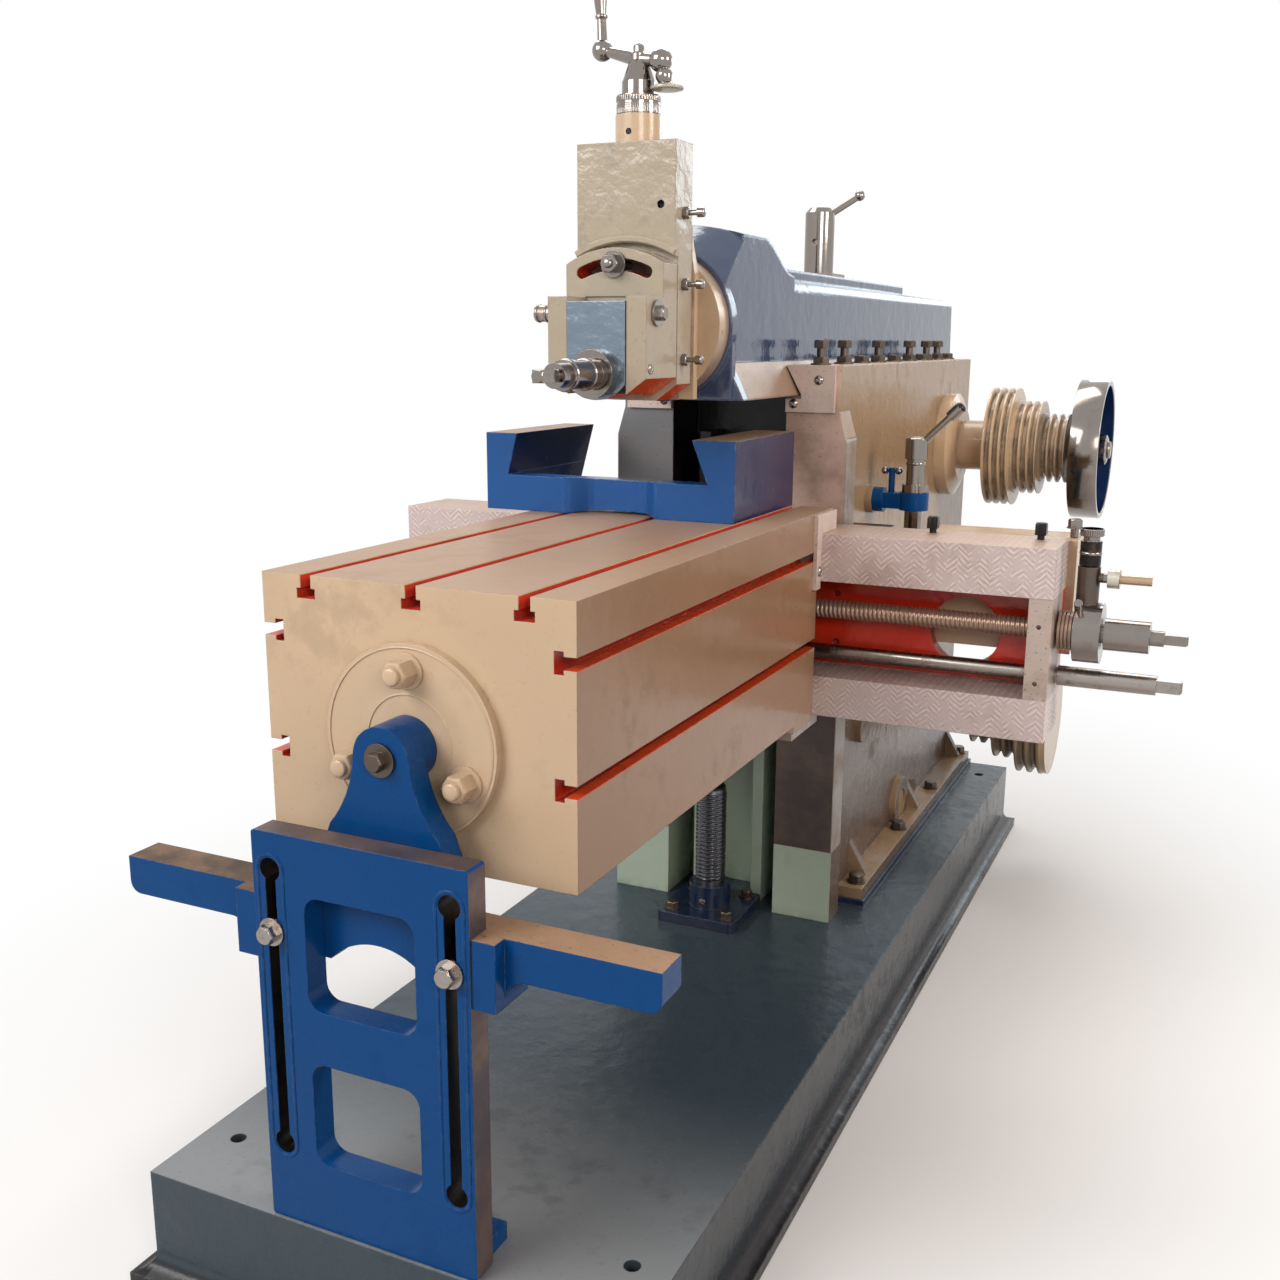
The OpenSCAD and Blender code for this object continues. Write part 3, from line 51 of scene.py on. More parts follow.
# Colours
def srgb(r: float, g: float, b: float) -> tuple[float, float, float, float]:
    """Turns a display colour into the linear colour that shaders use.

    Args:
        r, g, b: Red, green and blue from 0 to 255.

    Returns:
        Linear red, green and blue, and 1 for alpha.
    """
    out = []
    for v in (r, g, b):
        c = v / 255.0
        out.append(c / 12.92 if c <= 0.04045 else ((c + 0.055) / 1.055) ** 2.4)
    return (out[0], out[1], out[2], 1.0)


CHROME = srgb(140, 132, 127)
STEEL = srgb(158, 150, 144)
BROWN_IRON = srgb(160, 130, 108)

# Stains, in linear values
RUST = (0.30, 0.20, 0.15, 1.0)
OLD_OIL = (0.17, 0.11, 0.075, 1.0)
SCRAPE_DARK = (0.20, 0.17, 0.18, 1.0)
IRON_BROWN = (0.27, 0.165, 0.10, 1.0)
IRON_GREY = (0.13, 0.11, 0.10, 1.0)
PIT = (0.05, 0.035, 0.03, 1.0)
# Near black for grime in corners, which also stands for painted corner shade
DIRT_AND_SHADE = (0.045, 0.036, 0.028, 1.0)
WORN_IRON = (0.30, 0.27, 0.24, 1.0)
WORN_BLUE = (0.16, 0.22, 0.30, 1.0)
WHITE = (1.0, 1.0, 1.0, 1.0)


class Axis(Enum):
    """One of the frame's axes."""

    X = 0
    Y = 1
    Z = 2


# Shader graphs
class Graph:
    """Short calls for building a node tree.

    Args:
        tree: The node tree that gets the nodes.
    """

    def __init__(self, tree: bpy.types.NodeTree) -> None:
        self.tree = tree
        self._count = 0

    def node(self, kind: str, **props: object) -> bpy.types.Node:
        """Adds a node and sets its properties.

        Args:
            kind: The node's type.
            props: Its properties by name.

        Returns:
            The node.
        """
        made = self.tree.nodes.new(kind)
        made.location = (200 * (self._count % 12), -260 * (self._count // 12))
        self._count += 1
        for key, value in props.items():
            setattr(made, key, value)
        return made

    def put(self, socket: bpy.types.NodeSocket, value: object) -> None:
        """Links value if it is a socket, or sets it as the socket's constant.

        Args:
            socket: The input.
            value: A socket, a constant, or None to leave it as it is.
        """
        if isinstance(value, bpy.types.NodeSocket):
            self.tree.links.new(value, socket)
        elif value is not None:
            socket.default_value = value

    def math(
        self, op: str, a: object, b: object = None, c: object = None, clamp: bool = False
    ) -> bpy.types.NodeSocket:
        """Adds a math node.

        Args:
            op: Its operation.
            a, b, c: Its inputs.
            clamp: Keeps the result from 0 to 1.

        Returns:
            The result.
        """
        made = self.node("ShaderNodeMath", operation=op, use_clamp=clamp)
        for i, value in enumerate((a, b, c)):
            if value is not None:
                self.put(made.inputs[i], value)
        return made.outputs[0]

    def vector(self, op: str, a: object, b: object = None) -> bpy.types.NodeSocket:
        """Adds a vector math node.

        Args:
            op: Its operation.
            a: The first vector.
            b: The second vector, or the factor of SCALE.

        Returns:
            The vector, or the number that DOT_PRODUCT and LENGTH give.
        """
        made = self.node("ShaderNodeVectorMath", operation=op)
        self.put(made.inputs[0], a)
        if b is not None:
            self.put(made.inputs["Scale" if op == "SCALE" else 1], b)
        return made.outputs["Value" if op in ("DOT_PRODUCT", "LENGTH") else "Vector"]

    def colour(self, fac: object, a: object, b: object) -> bpy.types.NodeSocket:
        """Mixes two colours.

        Args:
            fac: Share of b, from 0 to 1.
            a, b: The colours.

        Returns:
            The mixed colour.
        """
        made = self.node("ShaderNodeMix", data_type="RGBA", blend_type="MIX", clamp_factor=True)
        self.put(made.inputs[0], fac)
        self.put(made.inputs[6], a)
        self.put(made.inputs[7], b)
        return made.outputs[2]

    def value(self, fac: object, a: object, b: object) -> object:
        """Mixes two values.

        Args:
            fac: Share of b, from 0 to 1.
            a, b: The values.

        Returns:
            The mixed value, or the plain number when both are the same number.
        """
        plain = (int, float)
        if isinstance(a, plain) and isinstance(b, plain) and a == b:
            return a
        made = self.node("ShaderNodeMix", data_type="FLOAT", clamp_factor=True)
        self.put(made.inputs[0], fac)
        self.put(made.inputs[2], a)
        self.put(made.inputs[3], b)
        return made.outputs[0]

    def noise(
        self, coord: object, scale: float, detail: float = 2.0, rough: float = 0.5
    ) -> bpy.types.NodeSocket:
        """Adds a noise texture.

        Args:
            coord: Where it is read.
            scale: Its scale, higher for finer noise.
            detail: Number of finer layers.
            rough: Strength of the finer layers.

        Returns:
            Noise from 0 to 1 about 0.5.
        """
        made = self.node("ShaderNodeTexNoise")
        self.put(made.inputs["Vector"], coord)
        made.inputs["Scale"].default_value = scale
        made.inputs["Detail"].default_value = detail
        made.inputs["Roughness"].default_value = rough
        return made.outputs[0]

    def ramp(
        self, fac: object, low: object, high: object, out0: float = 0.0, out1: float = 1.0
    ) -> bpy.types.NodeSocket:
        """Adds a smooth step of fac from low to high.

        Args:
            fac: The value.
            low, high: Where the step starts and ends.
            out0, out1: The result before and after the step.

        Returns:
            The result.
        """
        made = self.node("ShaderNodeMapRange", interpolation_type="SMOOTHSTEP")
        self.put(made.inputs[0], fac)
        for i, value in enumerate((low, high, out0, out1)):
            self.put(made.inputs[i + 1], value)
        return made.outputs[0]

    def stretch(self, coord: object, sx: float, sy: float, sz: float) -> bpy.types.NodeSocket:
        """The coordinates scaled by axis."""
        return self.vector("MULTIPLY", coord, (sx, sy, sz))

    def parts(self, coord: object) -> bpy.types.NodeOutputs:
        """Splits a vector.

        Args:
            coord: The vector.

        Returns:
            Its X, Y and Z.
        """
        made = self.node("ShaderNodeSeparateXYZ")
        self.put(made.inputs[0], coord)
        return made.outputs

    def join(self, x: object, y: object, z: object) -> bpy.types.NodeSocket:
        """Makes a vector from three parts.

        Args:
            x, y, z: The parts.

        Returns:
            The vector.
        """
        made = self.node("ShaderNodeCombineXYZ")
        for k, value in enumerate((x, y, z)):
            self.put(made.inputs[k], value)
        return made.outputs[0]

    def group(self, name: str, **inputs: object) -> bpy.types.NodeOutputs:
        """Places one of the shared groups with its own values.

        Args:
            name: The group's name.
            inputs: Its inputs by name.

        Returns:
            The group's outputs.
        """
        made = self.node("ShaderNodeGroup", node_tree=LIBRARY.get(name))
        for key, value in inputs.items():
            self.put(made.inputs[key], value)
        return made.outputs


def fresh_graph(owner: bpy.types.ID) -> Graph:
    """Empties a material's or a world's node tree.

    Args:
        owner: The material or world.

    Returns:
        Its graph.
    """
    owner.use_nodes = True
    owner.node_tree.nodes.clear()
    return Graph(owner.node_tree)


def new_group(name: str, inputs: list[tuple], outputs: list[tuple]) -> tuple:
    """Makes a shader group with its sockets.

    Args:
        name: Group name.
        inputs: (name, kind, default) for each input; kind is FLOAT, COLOR or VECTOR.
        outputs: (name, kind) for each output.

    Returns:
        (group, graph, input node's sockets by name, output node).
    """
    kinds = {"FLOAT": "NodeSocketFloat", "COLOR": "NodeSocketColor", "VECTOR": "NodeSocketVector"}
    group = bpy.data.node_groups.new(name, "ShaderNodeTree")
    for label, kind, default in inputs:
        made = group.interface.new_socket(name=label, in_out="INPUT", socket_type=kinds[kind])
        if default is not None:
            made.default_value = default
    for label, kind in outputs:
        group.interface.new_socket(name=label, in_out="OUTPUT", socket_type=kinds[kind])
    graph = Graph(group)
    entry = graph.node("NodeGroupInput")
    leave = graph.node("NodeGroupOutput")
    return group, graph, entry.outputs, leave


SURFACE_IN = [
    ("Position", "VECTOR", None),
    ("Colour", "COLOR", (0.5, 0.5, 0.5, 1.0)),
    ("Rough", "FLOAT", 0.3),
    ("Amount", "FLOAT", 1.0),
]
SURFACE_OUT = [("Colour", "COLOR"), ("Rough", "FLOAT"), ("Height", "FLOAT")]


# Width of two columns of scraping strokes and the distance between strokes, in metres
SCRAPE_COLUMNS = 0.036
SCRAPE_STEP = 0.0095


class Library:
    """The node groups that all finishes share, each made once."""

    def __init__(self) -> None:
        self._made: dict[str, bpy.types.NodeTree] = {}

    def get(self, name: str) -> bpy.types.NodeTree:
        """Finds the group of that name, which is made on first use.

        Args:
            name: The group's name.

        Returns:
            The group.
        """
        if name not in self._made:
            self._made[name] = getattr(self, "_" + name)()
            LOG.info("group %s", name)
        return self._made[name]

    def _paint_film(self) -> bpy.types.NodeTree:
        """Brushed-on gloss paint over a filled casting.

        The colour drifts slowly and has small darker spots; the film's height is a slow wave, lumps
        about a finger wide and a fine peel, so that highlights break up as they do on thick paint.

        Returns:
            The group.
        """
        group, g, i, out = new_group("paint_film", SURFACE_IN, SURFACE_OUT)
        p = i["Position"]
        slow = g.noise(p, 4.0, 3.0, 0.55)
        patch = g.noise(p, 26.0, 4.0, 0.6)
        tone = g.vector("SCALE", i["Colour"], g.math("MULTIPLY_ADD", slow, 0.26, 0.87))
        spot = g.ramp(g.noise(p, 120.0, 3.0, 0.6), 0.62, 0.70)
        dirt = g.math("MULTIPLY_ADD", spot, 0.5, g.ramp(g.math("MULTIPLY", patch, slow), 0.28, 0.46))
        dirt = g.math("MULTIPLY", dirt, g.math("MULTIPLY", i["Amount"], 0.34), clamp=True)
        dark = g.vector("SCALE", i["Colour"], 0.32)
        g.put(out.inputs["Colour"], g.colour(dirt, tone, dark))
        rough = g.math("MULTIPLY_ADD", patch, 0.12, g.math("SUBTRACT", i["Rough"], 0.05))
        g.put(out.inputs["Rough"], g.math("MULTIPLY_ADD", dirt, 0.35, rough, clamp=True))
        wave = g.math("MULTIPLY", g.noise(p, 22.0, 1.5, 0.5), 1.5)
        lumps = g.math("MULTIPLY_ADD", g.noise(p, 70.0, 2.0, 0.55), 0.55, wave)
        film = g.math("MULTIPLY_ADD", g.noise(p, 260.0, 1.0, 0.5), 0.06, lumps)
        g.put(out.inputs["Height"], g.math("MULTIPLY", film, i["Amount"]))
        return group

    def _scraped_iron(self) -> bpy.types.NodeTree:
        """Hand-scraped iron with columns of short strokes that lean left and right in turn.

        Position's X and Z carry the face. A triangle wave across X shifts the phase of a sine along
        Z, so the strokes lean; each column adds its own random shift, so that they don't meet.

        Returns:
            The group.
        """
        group, g, i, out = new_group("scraped_iron", SURFACE_IN, SURFACE_OUT)
        wob = g.node("ShaderNodeTexNoise")
        g.put(wob.inputs["Vector"], i["Position"])
        wob.inputs["Scale"].default_value = 60.0
        p = g.vector("ADD", i["Position"], g.stretch(wob.outputs[1], 0.006, 0.006, 0.006))
        part = g.parts(p)
        across = g.math("MULTIPLY", part[0], 1.0 / SCRAPE_COLUMNS)
        lean = g.math("PINGPONG", across, 0.5)
        column = g.node("ShaderNodeTexWhiteNoise", noise_dimensions="1D")
        g.put(column.inputs["W"], g.math("FLOOR", g.math("MULTIPLY", across, 2.0)))
        shift = g.math("MULTIPLY_ADD", lean, 3.2, column.outputs["Value"])
        phase = g.math("MULTIPLY_ADD", part[2], 1.0 / SCRAPE_STEP, shift)
        wave = g.math("SINE", g.math("MULTIPLY", phase, math.tau))
        broken = g.ramp(g.noise(p, 75.0, 2.0, 0.6), 0.40, 0.60)
        stroke = g.math("MULTIPLY", g.ramp(wave, -0.3, 0.8), broken)
        stroke = g.math("MULTIPLY", stroke, i["Amount"])
        stain = g.ramp(g.noise(i["Position"], 9.0, 4.0, 0.6), 0.50, 0.74)
        base = g.colour(g.math("MULTIPLY", stain, 0.55), i["Colour"], RUST)
        ridge = g.math("MULTIPLY", g.ramp(wave, 0.1, -0.7), broken)
        base = g.colour(g.math("MULTIPLY", ridge, 0.5), base, g.vector("SCALE", i["Colour"], 1.5))
        base = g.colour(g.math("MULTIPLY", stroke, 0.34), base, SCRAPE_DARK)
        g.put(out.inputs["Colour"], base)
        g.put(out.inputs["Rough"], g.math("MULTIPLY_ADD", stroke, 0.12, i["Rough"]))
        g.put(out.inputs["Height"], g.math("MULTIPLY", stroke, -0.22))
        return group

    def _turned_steel(self) -> bpy.types.NodeTree:
        """Turned or ground steel: fine lines across Position's Z, and a little staining.

        Returns:
            The group.
        """
        group, g, i, out = new_group("turned_steel", SURFACE_IN, SURFACE_OUT)
        lines = g.noise(g.stretch(i["Position"], 6.0, 6.0, 700.0), 1.0, 3.0, 0.6)
        patch = g.noise(i["Position"], 40.0, 4.0, 0.65)
        stain = g.math("MULTIPLY", g.ramp(patch, 0.50, 0.74), i["Amount"])
        g.put(out.inputs["Colour"], g.colour(g.math("MULTIPLY", stain, 0.7), i["Colour"], OLD_OIL))
        rough = g.math("MULTIPLY_ADD", lines, 0.16, g.math("SUBTRACT", i["Rough"], 0.07))
        g.put(out.inputs["Rough"], g.math("MULTIPLY_ADD", stain, 0.22, rough, clamp=True))
        g.put(out.inputs["Height"], g.math("MULTIPLY", lines, 0.03))
        return group

    def _raw_iron(self) -> bpy.types.NodeTree:
        """Machined iron left bare: brown stains, long tool marks and dark specks.

        Returns:
            The group.
        """
        group, g, i, out = new_group("raw_iron", SURFACE_IN, SURFACE_OUT)
        p = i["Position"]
        streak = g.noise(g.stretch(p, 12.0, 12.0, 420.0), 1.0, 3.0, 0.6)
        slow = g.noise(p, 11.0, 5.0, 0.62)
        speck = g.ramp(g.noise(p, 210.0, 2.0, 0.5), 0.64, 0.72)
        brown = g.math("MULTIPLY", g.ramp(slow, 0.40, 0.68), i["Amount"])
        base = g.colour(g.math("MULTIPLY", brown, 0.8), i["Colour"], IRON_BROWN)
        base = g.colour(g.math("MULTIPLY", streak, 0.25), base, IRON_GREY)
        base = g.colour(g.math("MULTIPLY", speck, 0.6), base, PIT)
        g.put(out.inputs["Colour"], base)
        g.put(out.inputs["Rough"], g.math("MULTIPLY_ADD", slow, 0.28, g.math("SUBTRACT", i["Rough"], 0.12)))
        g.put(out.inputs["Height"], g.math("MULTIPLY_ADD", streak, 0.05, g.math("MULTIPLY", speck, -0.05)))
        return group

    def _edge_wear(self) -> bpy.types.NodeTree:
        """A mask that is 1 on worn sharp edges, from how far a rounded normal leans.

        Returns:
            The group.
        """
        group, g, i, out = new_group(
            "edge_wear", [("Rounded", "VECTOR", None), ("Position", "VECTOR", None)], [("Mask", "FLOAT")]
        )
        geo = g.node("ShaderNodeNewGeometry")
        lean = g.vector("DOT_PRODUCT", i["Rounded"], geo.outputs["True Normal"])
        edge = g.ramp(lean, 0.985, 0.86)
        chips = g.ramp(g.noise(i["Position"], 55.0, 5.0, 0.7), 0.50, 0.58)
        g.put(out.inputs["Mask"], g.math("MULTIPLY", edge, chips))
        return group

    def _grime_and_shade(self) -> bpy.types.NodeTree:
        """A mask of dust and old grease in corners, which also paints shade there: ambient occlusion broken
        by noise.

        Returns:
            The group.
        """
        group, g, i, out = new_group("grime_and_shade", [("Position", "VECTOR", None)], [("Mask", "FLOAT")])
        # Occluded corners get the mask: grime and painted shade together
        ao = g.node("ShaderNodeAmbientOcclusion", samples=4)
        ao.inputs["Distance"].default_value = 0.05
        corner = g.ramp(ao.outputs["AO"], 0.75, 0.30)
        patch = g.ramp(g.noise(i["Position"], 30.0, 4.0, 0.6), 0.34, 0.62)
        g.put(out.inputs["Mask"], g.math("MULTIPLY", corner, patch))
        return group

    def _box_mask(self) -> bpy.types.NodeTree:
        """1 inside a box from Low to High; Soft is the width of its fading edge along each axis.

        Returns:
            The group.
        """
        group, g, i, out = new_group(
            "box_mask",
            [(name, "VECTOR", None) for name in ("Position", "Low", "High", "Soft")],
            [("Mask", "FLOAT")],
        )
        at, least, most, soft = (g.parts(i[name]) for name in ("Position", "Low", "High", "Soft"))
        mask = None
        for k in range(3):
            low = g.ramp(g.math("SUBTRACT", at[k], least[k]), 0.0, soft[k])
            high = g.ramp(g.math("SUBTRACT", most[k], at[k]), 0.0, soft[k])
            both = g.math("MULTIPLY", low, high)
            mask = both if mask is None else g.math("MULTIPLY", mask, both)
        g.put(out.inputs["Mask"], mask)
        return group

    def _facing(self) -> bpy.types.NodeTree:
        """1 where the true normal's part along Way is over Least.

        Returns:
            The group.
        """
        group, g, i, out = new_group(
            "facing", [("Way", "VECTOR", None), ("Least", "FLOAT", 0.8)], [("Mask", "FLOAT")]
        )
        geo = g.node("ShaderNodeNewGeometry")
        dot = g.vector("DOT_PRODUCT", geo.outputs["True Normal"], i["Way"])
        g.put(out.inputs["Mask"], g.ramp(dot, i["Least"], g.math("ADD", i["Least"], 0.06)))
        return group


LIBRARY = Library()


# Half the width over which a round zone fades, in millimetres
ROUND_FADE = 0.4


class Kind(Enum):
    """What a surface is made by; the value is its node group."""

    PAINT = "paint_film"
    SCRAPED = "scraped_iron"
    TURNED = "turned_steel"
    RAW = "raw_iron"


@dataclass(frozen=True)
class Skin:
    """One surface: a kind with its own values.

    Attributes:
        kind: The node group.
        colour: Linear base colour.
        rough: Mean roughness.
        metal: 0 for paint, 1 for bare metal.
        amount: Strength of the kind's marks.
        along: The axis that the kind's lines cross.
    """

    kind: Kind
    colour: tuple
    rough: float
    metal: float = 0.0
    amount: float = 1.0
    along: Axis = Axis.Z


@dataclass(frozen=True)
class Zone:
    """A part of a piece that has another skin.

    Attributes:
        skin: The skin inside the zone.
        low: Low corner in millimetres.
        high: High corner in millimetres.
        way: Only faces that look this way, if given.
        least: How closely they look that way.
        mirror: Also the zone's mirror image across the centre plane.
        turn: (axis, centre u, centre v, radius) keeps the zone inside a round outline.
        outside: Keeps it outside that outline instead.
        soft: Widths of the fading edges along X, Y and Z in millimetres.
        share: How strongly the zone covers what is below.
    """

    skin: Skin
    low: tuple = (-FAR, -FAR, -FAR)
    high: tuple = (FAR, FAR, FAR)
    way: tuple | None = None
    least: float = 0.8
    mirror: bool = False
    turn: tuple | None = None
    outside: bool = False
    soft: tuple = (0.8, 0.8, 0.8)
    share: float = 1.0


@dataclass
class Finish:
    """A material: a base skin, zones over it, worn edges, and grime with painted corner shade.

    Attributes:
        name: Material name.
        base: The skin of the whole piece.
        zones: Zones, later ones on top.
        worn: Colour that shows on worn edges.
        wear: How strong the worn edges are.
        round_mm: Radius that the shading gives to sharp edges.
        grime_and_shade: How strong the grime and the painted corner shade are.
        relief: Height of the film's waves in millimetres.
        shine: Specular level of the paint.
    """

    name: str
    base: Skin
    zones: list[Zone] = field(default_factory=list)
    worn: tuple = WORN_IRON
    wear: float = 0.0
    round_mm: float = 1.0
    grime_and_shade: float = 0.3
    relief: float = 0.6
    shine: float = 0.5
    _made: bpy.types.Material | None = None

    def material(self) -> bpy.types.Material:
        """Makes the material on first use.

        Returns:
            The material.
        """
        if self._made is None:
            self._made = self._build()
            LOG.info("material %s", self.name)
        return self._made

    def _skin(self, g: Graph, position: object, skin: Skin) -> bpy.types.NodeOutputs:
        """Places one skin.

        Args:
            g: The material's graph.
            position: Where it is read.
            skin: The skin.

        Returns:
            Its colour, roughness and height.
        """
        if skin.along is not Axis.Z:
            part = g.parts(position)
            order = {Axis.X: (1, 2, 0), Axis.Y: (0, 2, 1)}[skin.along]
            position = g.join(*(part[k] for k in order))
        values = {"Colour": skin.colour, "Rough": skin.rough, "Amount": skin.amount}
        return g.group(skin.kind.value, Position=position, **values)

    def _mask(self, g: Graph, position: object, zone: Zone) -> object:
        """Works out where a zone covers the piece.

        Args:
            g: The material's graph.
            position: Where it is read.
            zone: The zone.

        Returns:
            The mask, 1 inside the zone.
        """
        p = position
        if zone.mirror:
            part = g.parts(position)
            p = g.join(g.math("ABSOLUTE", part[0]), part[1], part[2])
        sizes = {"Low": zone.low, "High": zone.high, "Soft": zone.soft}
        metres = {key: [v * MM for v in size] for key, size in sizes.items()}
        mask = g.group("box_mask", Position=p, **metres)[0]
        if zone.way is not None:
            mask = g.math("MULTIPLY", mask, g.group("facing", Way=zone.way, Least=zone.least)[0])
        if zone.turn is not None:
            axis, u, v, radius = zone.turn
            flat = [1.0, 1.0, 1.0]
            flat[axis.value] = 0.0
            centre = [u * MM, v * MM]
            centre.insert(axis.value, 0.0)
            from_axis = g.vector("SUBTRACT", g.vector("MULTIPLY", p, tuple(flat)), tuple(centre))
            edges = ((radius - ROUND_FADE) * MM, (radius + ROUND_FADE) * MM)
            step = (0.0, 1.0) if zone.outside else (1.0, 0.0)
            mask = g.math("MULTIPLY", mask, g.ramp(g.vector("LENGTH", from_axis), *edges, *step))
        if zone.share < 1.0:
            mask = g.math("MULTIPLY", mask, zone.share)
        return mask

    def _build(self) -> bpy.types.Material:
        """Builds the node tree: skins and zones, then worn edges, grime with painted corner shade, and
        relief.

        Returns:
            The material.
        """
        mat = bpy.data.materials.new(self.name)
        g = fresh_graph(mat)
        coord = g.node("ShaderNodeTexCoord").outputs["Object"]
        colour, rough, height = self._skin(g, coord, self.base)
        metal: object = self.base.metal
        for zone in self.zones:
            mask = self._mask(g, coord, zone)
            c2, r2, h2 = self._skin(g, coord, zone.skin)
            colour = g.colour(mask, colour, c2)
            rough = g.value(mask, rough, r2)
            height = g.value(mask, height, h2)
            metal = g.value(mask, metal, zone.skin.metal)
        shader = g.node("ShaderNodeBsdfPrincipled")
        leave = g.node("ShaderNodeOutputMaterial")
        bump = g.node("ShaderNodeBump")
        bump.inputs["Strength"].default_value = 1.0
        bump.inputs["Distance"].default_value = self.relief * MM
        if self.round_mm > 0:
            soft = g.node("ShaderNodeBevel", samples=4)
            soft.inputs["Radius"].default_value = self.round_mm * MM
            g.put(bump.inputs["Normal"], soft.outputs[0])
            if self.wear > 0:
                worn = g.group("edge_wear", Rounded=soft.outputs[0], Position=coord)
                mask = g.math("MULTIPLY", worn[0], self.wear)
                colour = g.colour(mask, colour, self.worn)
                rough = g.value(mask, rough, 0.5)
        # Grime and painted corner shade: occluded corners darken towards near black
        if self.grime_and_shade > 0:
            mask = g.math("MULTIPLY", g.group("grime_and_shade", Position=coord)[0], self.grime_and_shade)
            colour = g.colour(mask, colour, DIRT_AND_SHADE)
            rough = g.value(mask, rough, 0.75)
        g.put(bump.inputs["Height"], height)
        g.put(shader.inputs["Base Color"], colour)
        g.put(shader.inputs["Roughness"], rough)
        g.put(shader.inputs["Metallic"], metal)
        shader.inputs["Specular IOR Level"].default_value = self.shine
        g.put(shader.inputs["Normal"], bump.outputs[0])
        g.put(leave.inputs["Surface"], shader.outputs[0])
        return mat


# Meshes
class Ends(Enum):
    """How the first and last ring of a shell are closed."""

    FAN = "each with a fan of triangles"
    LOOP = "joined to each other"


def axes_of(way: tuple) -> np.ndarray:
    """Rows u, v, w of a right-handed set with w along way.

    u is X made square to w, or minus Z where w lies near X, as the frame's own turned shapes have it.

    Args:
        way: The direction of w.

    Returns:
        The three rows.
    """
    w = np.array(way, float) / np.linalg.norm(way)
    helper = np.array([0, 0, -1.0]) if abs(w[0]) > 0.7 else np.array([1.0, 0, 0])
    u = helper - helper @ w * w
    u /= np.linalg.norm(u)
    return np.stack([u, np.cross(w, u), w])


@dataclass(frozen=True)
class Shell:
    """A closed surface in millimetres.

    Attributes:
        points: (N, 3) points.
        quads: (M, 4) faces.
        tris: (K, 3) faces.
    """

    points: np.ndarray
    quads: np.ndarray
    tris: np.ndarray

    def moved(self, way: tuple, at: tuple) -> "Shell":
        """Turns the shell's own Z to way and moves it to at."""
        return Shell(self.points @ axes_of(way) + np.array(at, float), self.quads, self.tris)

    def object(self, name: str) -> bpy.types.Object:
        """Makes a Blender object in metres, smooth but for its sharp edges.

        Args:
            name: Name of the object and its mesh.

        Returns:
            The object.
        """
        mesh = bpy.data.meshes.new(name)
        loops = np.concatenate([self.quads.ravel(), self.tris.ravel()]).astype(np.int32)
        sides = np.concatenate([np.full(len(self.quads), 4), np.full(len(self.tris), 3)])
        starts = np.concatenate([[0], np.cumsum(sides)[:-1]]).astype(np.int32)
        mesh.vertices.add(len(self.points))
        mesh.vertices.foreach_set("co", (self.points * MM).astype(np.float32).ravel())
        mesh.loops.add(len(loops))
        mesh.loops.foreach_set("vertex_index", loops)
        mesh.polygons.add(len(sides))
        mesh.polygons.foreach_set("loop_start", starts)
        mesh.update(calc_edges=True)
        made = bpy.data.objects.new(name, mesh)
        bpy.context.scene.collection.objects.link(made)
        shade_by_angle(made)
        return made


def shell_of(node: str, below: float, lift: float) -> Shell:
    """The surface of a CAD node of triangles, with its doubles merged.

    Args:
        node: The node's name.
        below: Points lower than this, in millimetres, are moved up.
        lift: By how much.

    Returns:
        The shell.
    """
    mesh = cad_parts[node].data
    flat = np.empty(len(mesh.vertices) * 3, np.float32)
    mesh.vertices.foreach_get("co", flat)
    corners = np.empty(len(mesh.loops), np.int32)
    mesh.loops.foreach_get("vertex_index", corners)
    points, places = np.unique(np.round(flat.reshape(-1, 3) / MM, 3), axis=0, return_inverse=True)
    points[points[:, 2] < below, 2] += lift
    return Shell(points, np.empty((0, 4), int), places.ravel()[corners].reshape(-1, 3))


def merged(shells: list[Shell]) -> Shell:
    """Puts shells into one, by shifting each one's face numbers by the points before it.

    Args:
        shells: The shells.

    Returns:
        One shell with all their faces.
    """
    shift = np.cumsum([0] + [len(s.points) for s in shells[:-1]])
    return Shell(
        np.concatenate([s.points for s in shells]),
        np.concatenate([s.quads + n for s, n in zip(shells, shift)]),
        np.concatenate([s.tris + n for s, n in zip(shells, shift)]),
    )


def lofted(rings: np.ndarray, ends: Ends = Ends.FAN) -> Shell:
    """Quads between rings of points, each ring closed on itself.

    Args:
        rings: (rows, cols, 3); the faces look outwards when the rings run anticlockwise about the way
            in which the rows follow each other.
        ends: How the first and last rings are closed.

    Returns:
        The shell. With fans, each end gets the mean of its ring as one more point.
    """
    rows, cols, _ = rings.shape
    r = np.arange(rows if ends is Ends.LOOP else rows - 1)[:, None]
    c = np.arange(cols)[None, :]
    c2, r2 = (c + 1) % cols, (r + 1) % rows
    quads = np.stack(np.broadcast_arrays(r * cols + c, r * cols + c2, r2 * cols + c2, r2 * cols + c), -1)
    points = rings.reshape(-1, 3)
    tris = np.empty((0, 3), int)
    if ends is Ends.FAN:
        k = np.arange(cols)
        k2 = (k + 1) % cols
        first, last = np.full(cols, len(points)), np.full(cols, len(points) + 1)
        top = (rows - 1) * cols
        tris = np.concatenate([np.stack([k2, k, first], 1), np.stack([top + k, top + k2, last], 1)])
        points = np.concatenate([points, [rings[0].mean(0), rings[-1].mean(0)]])
    return Shell(points, quads.reshape(-1, 4), tris)


def ring(radius: object, angles: np.ndarray, height: float) -> np.ndarray:
    """The points (r cos a, r sin a, height), one for each angle; r may differ from angle to angle."""
    return np.stack([radius * np.cos(angles), radius * np.sin(angles), np.full(len(angles), height)], -1)


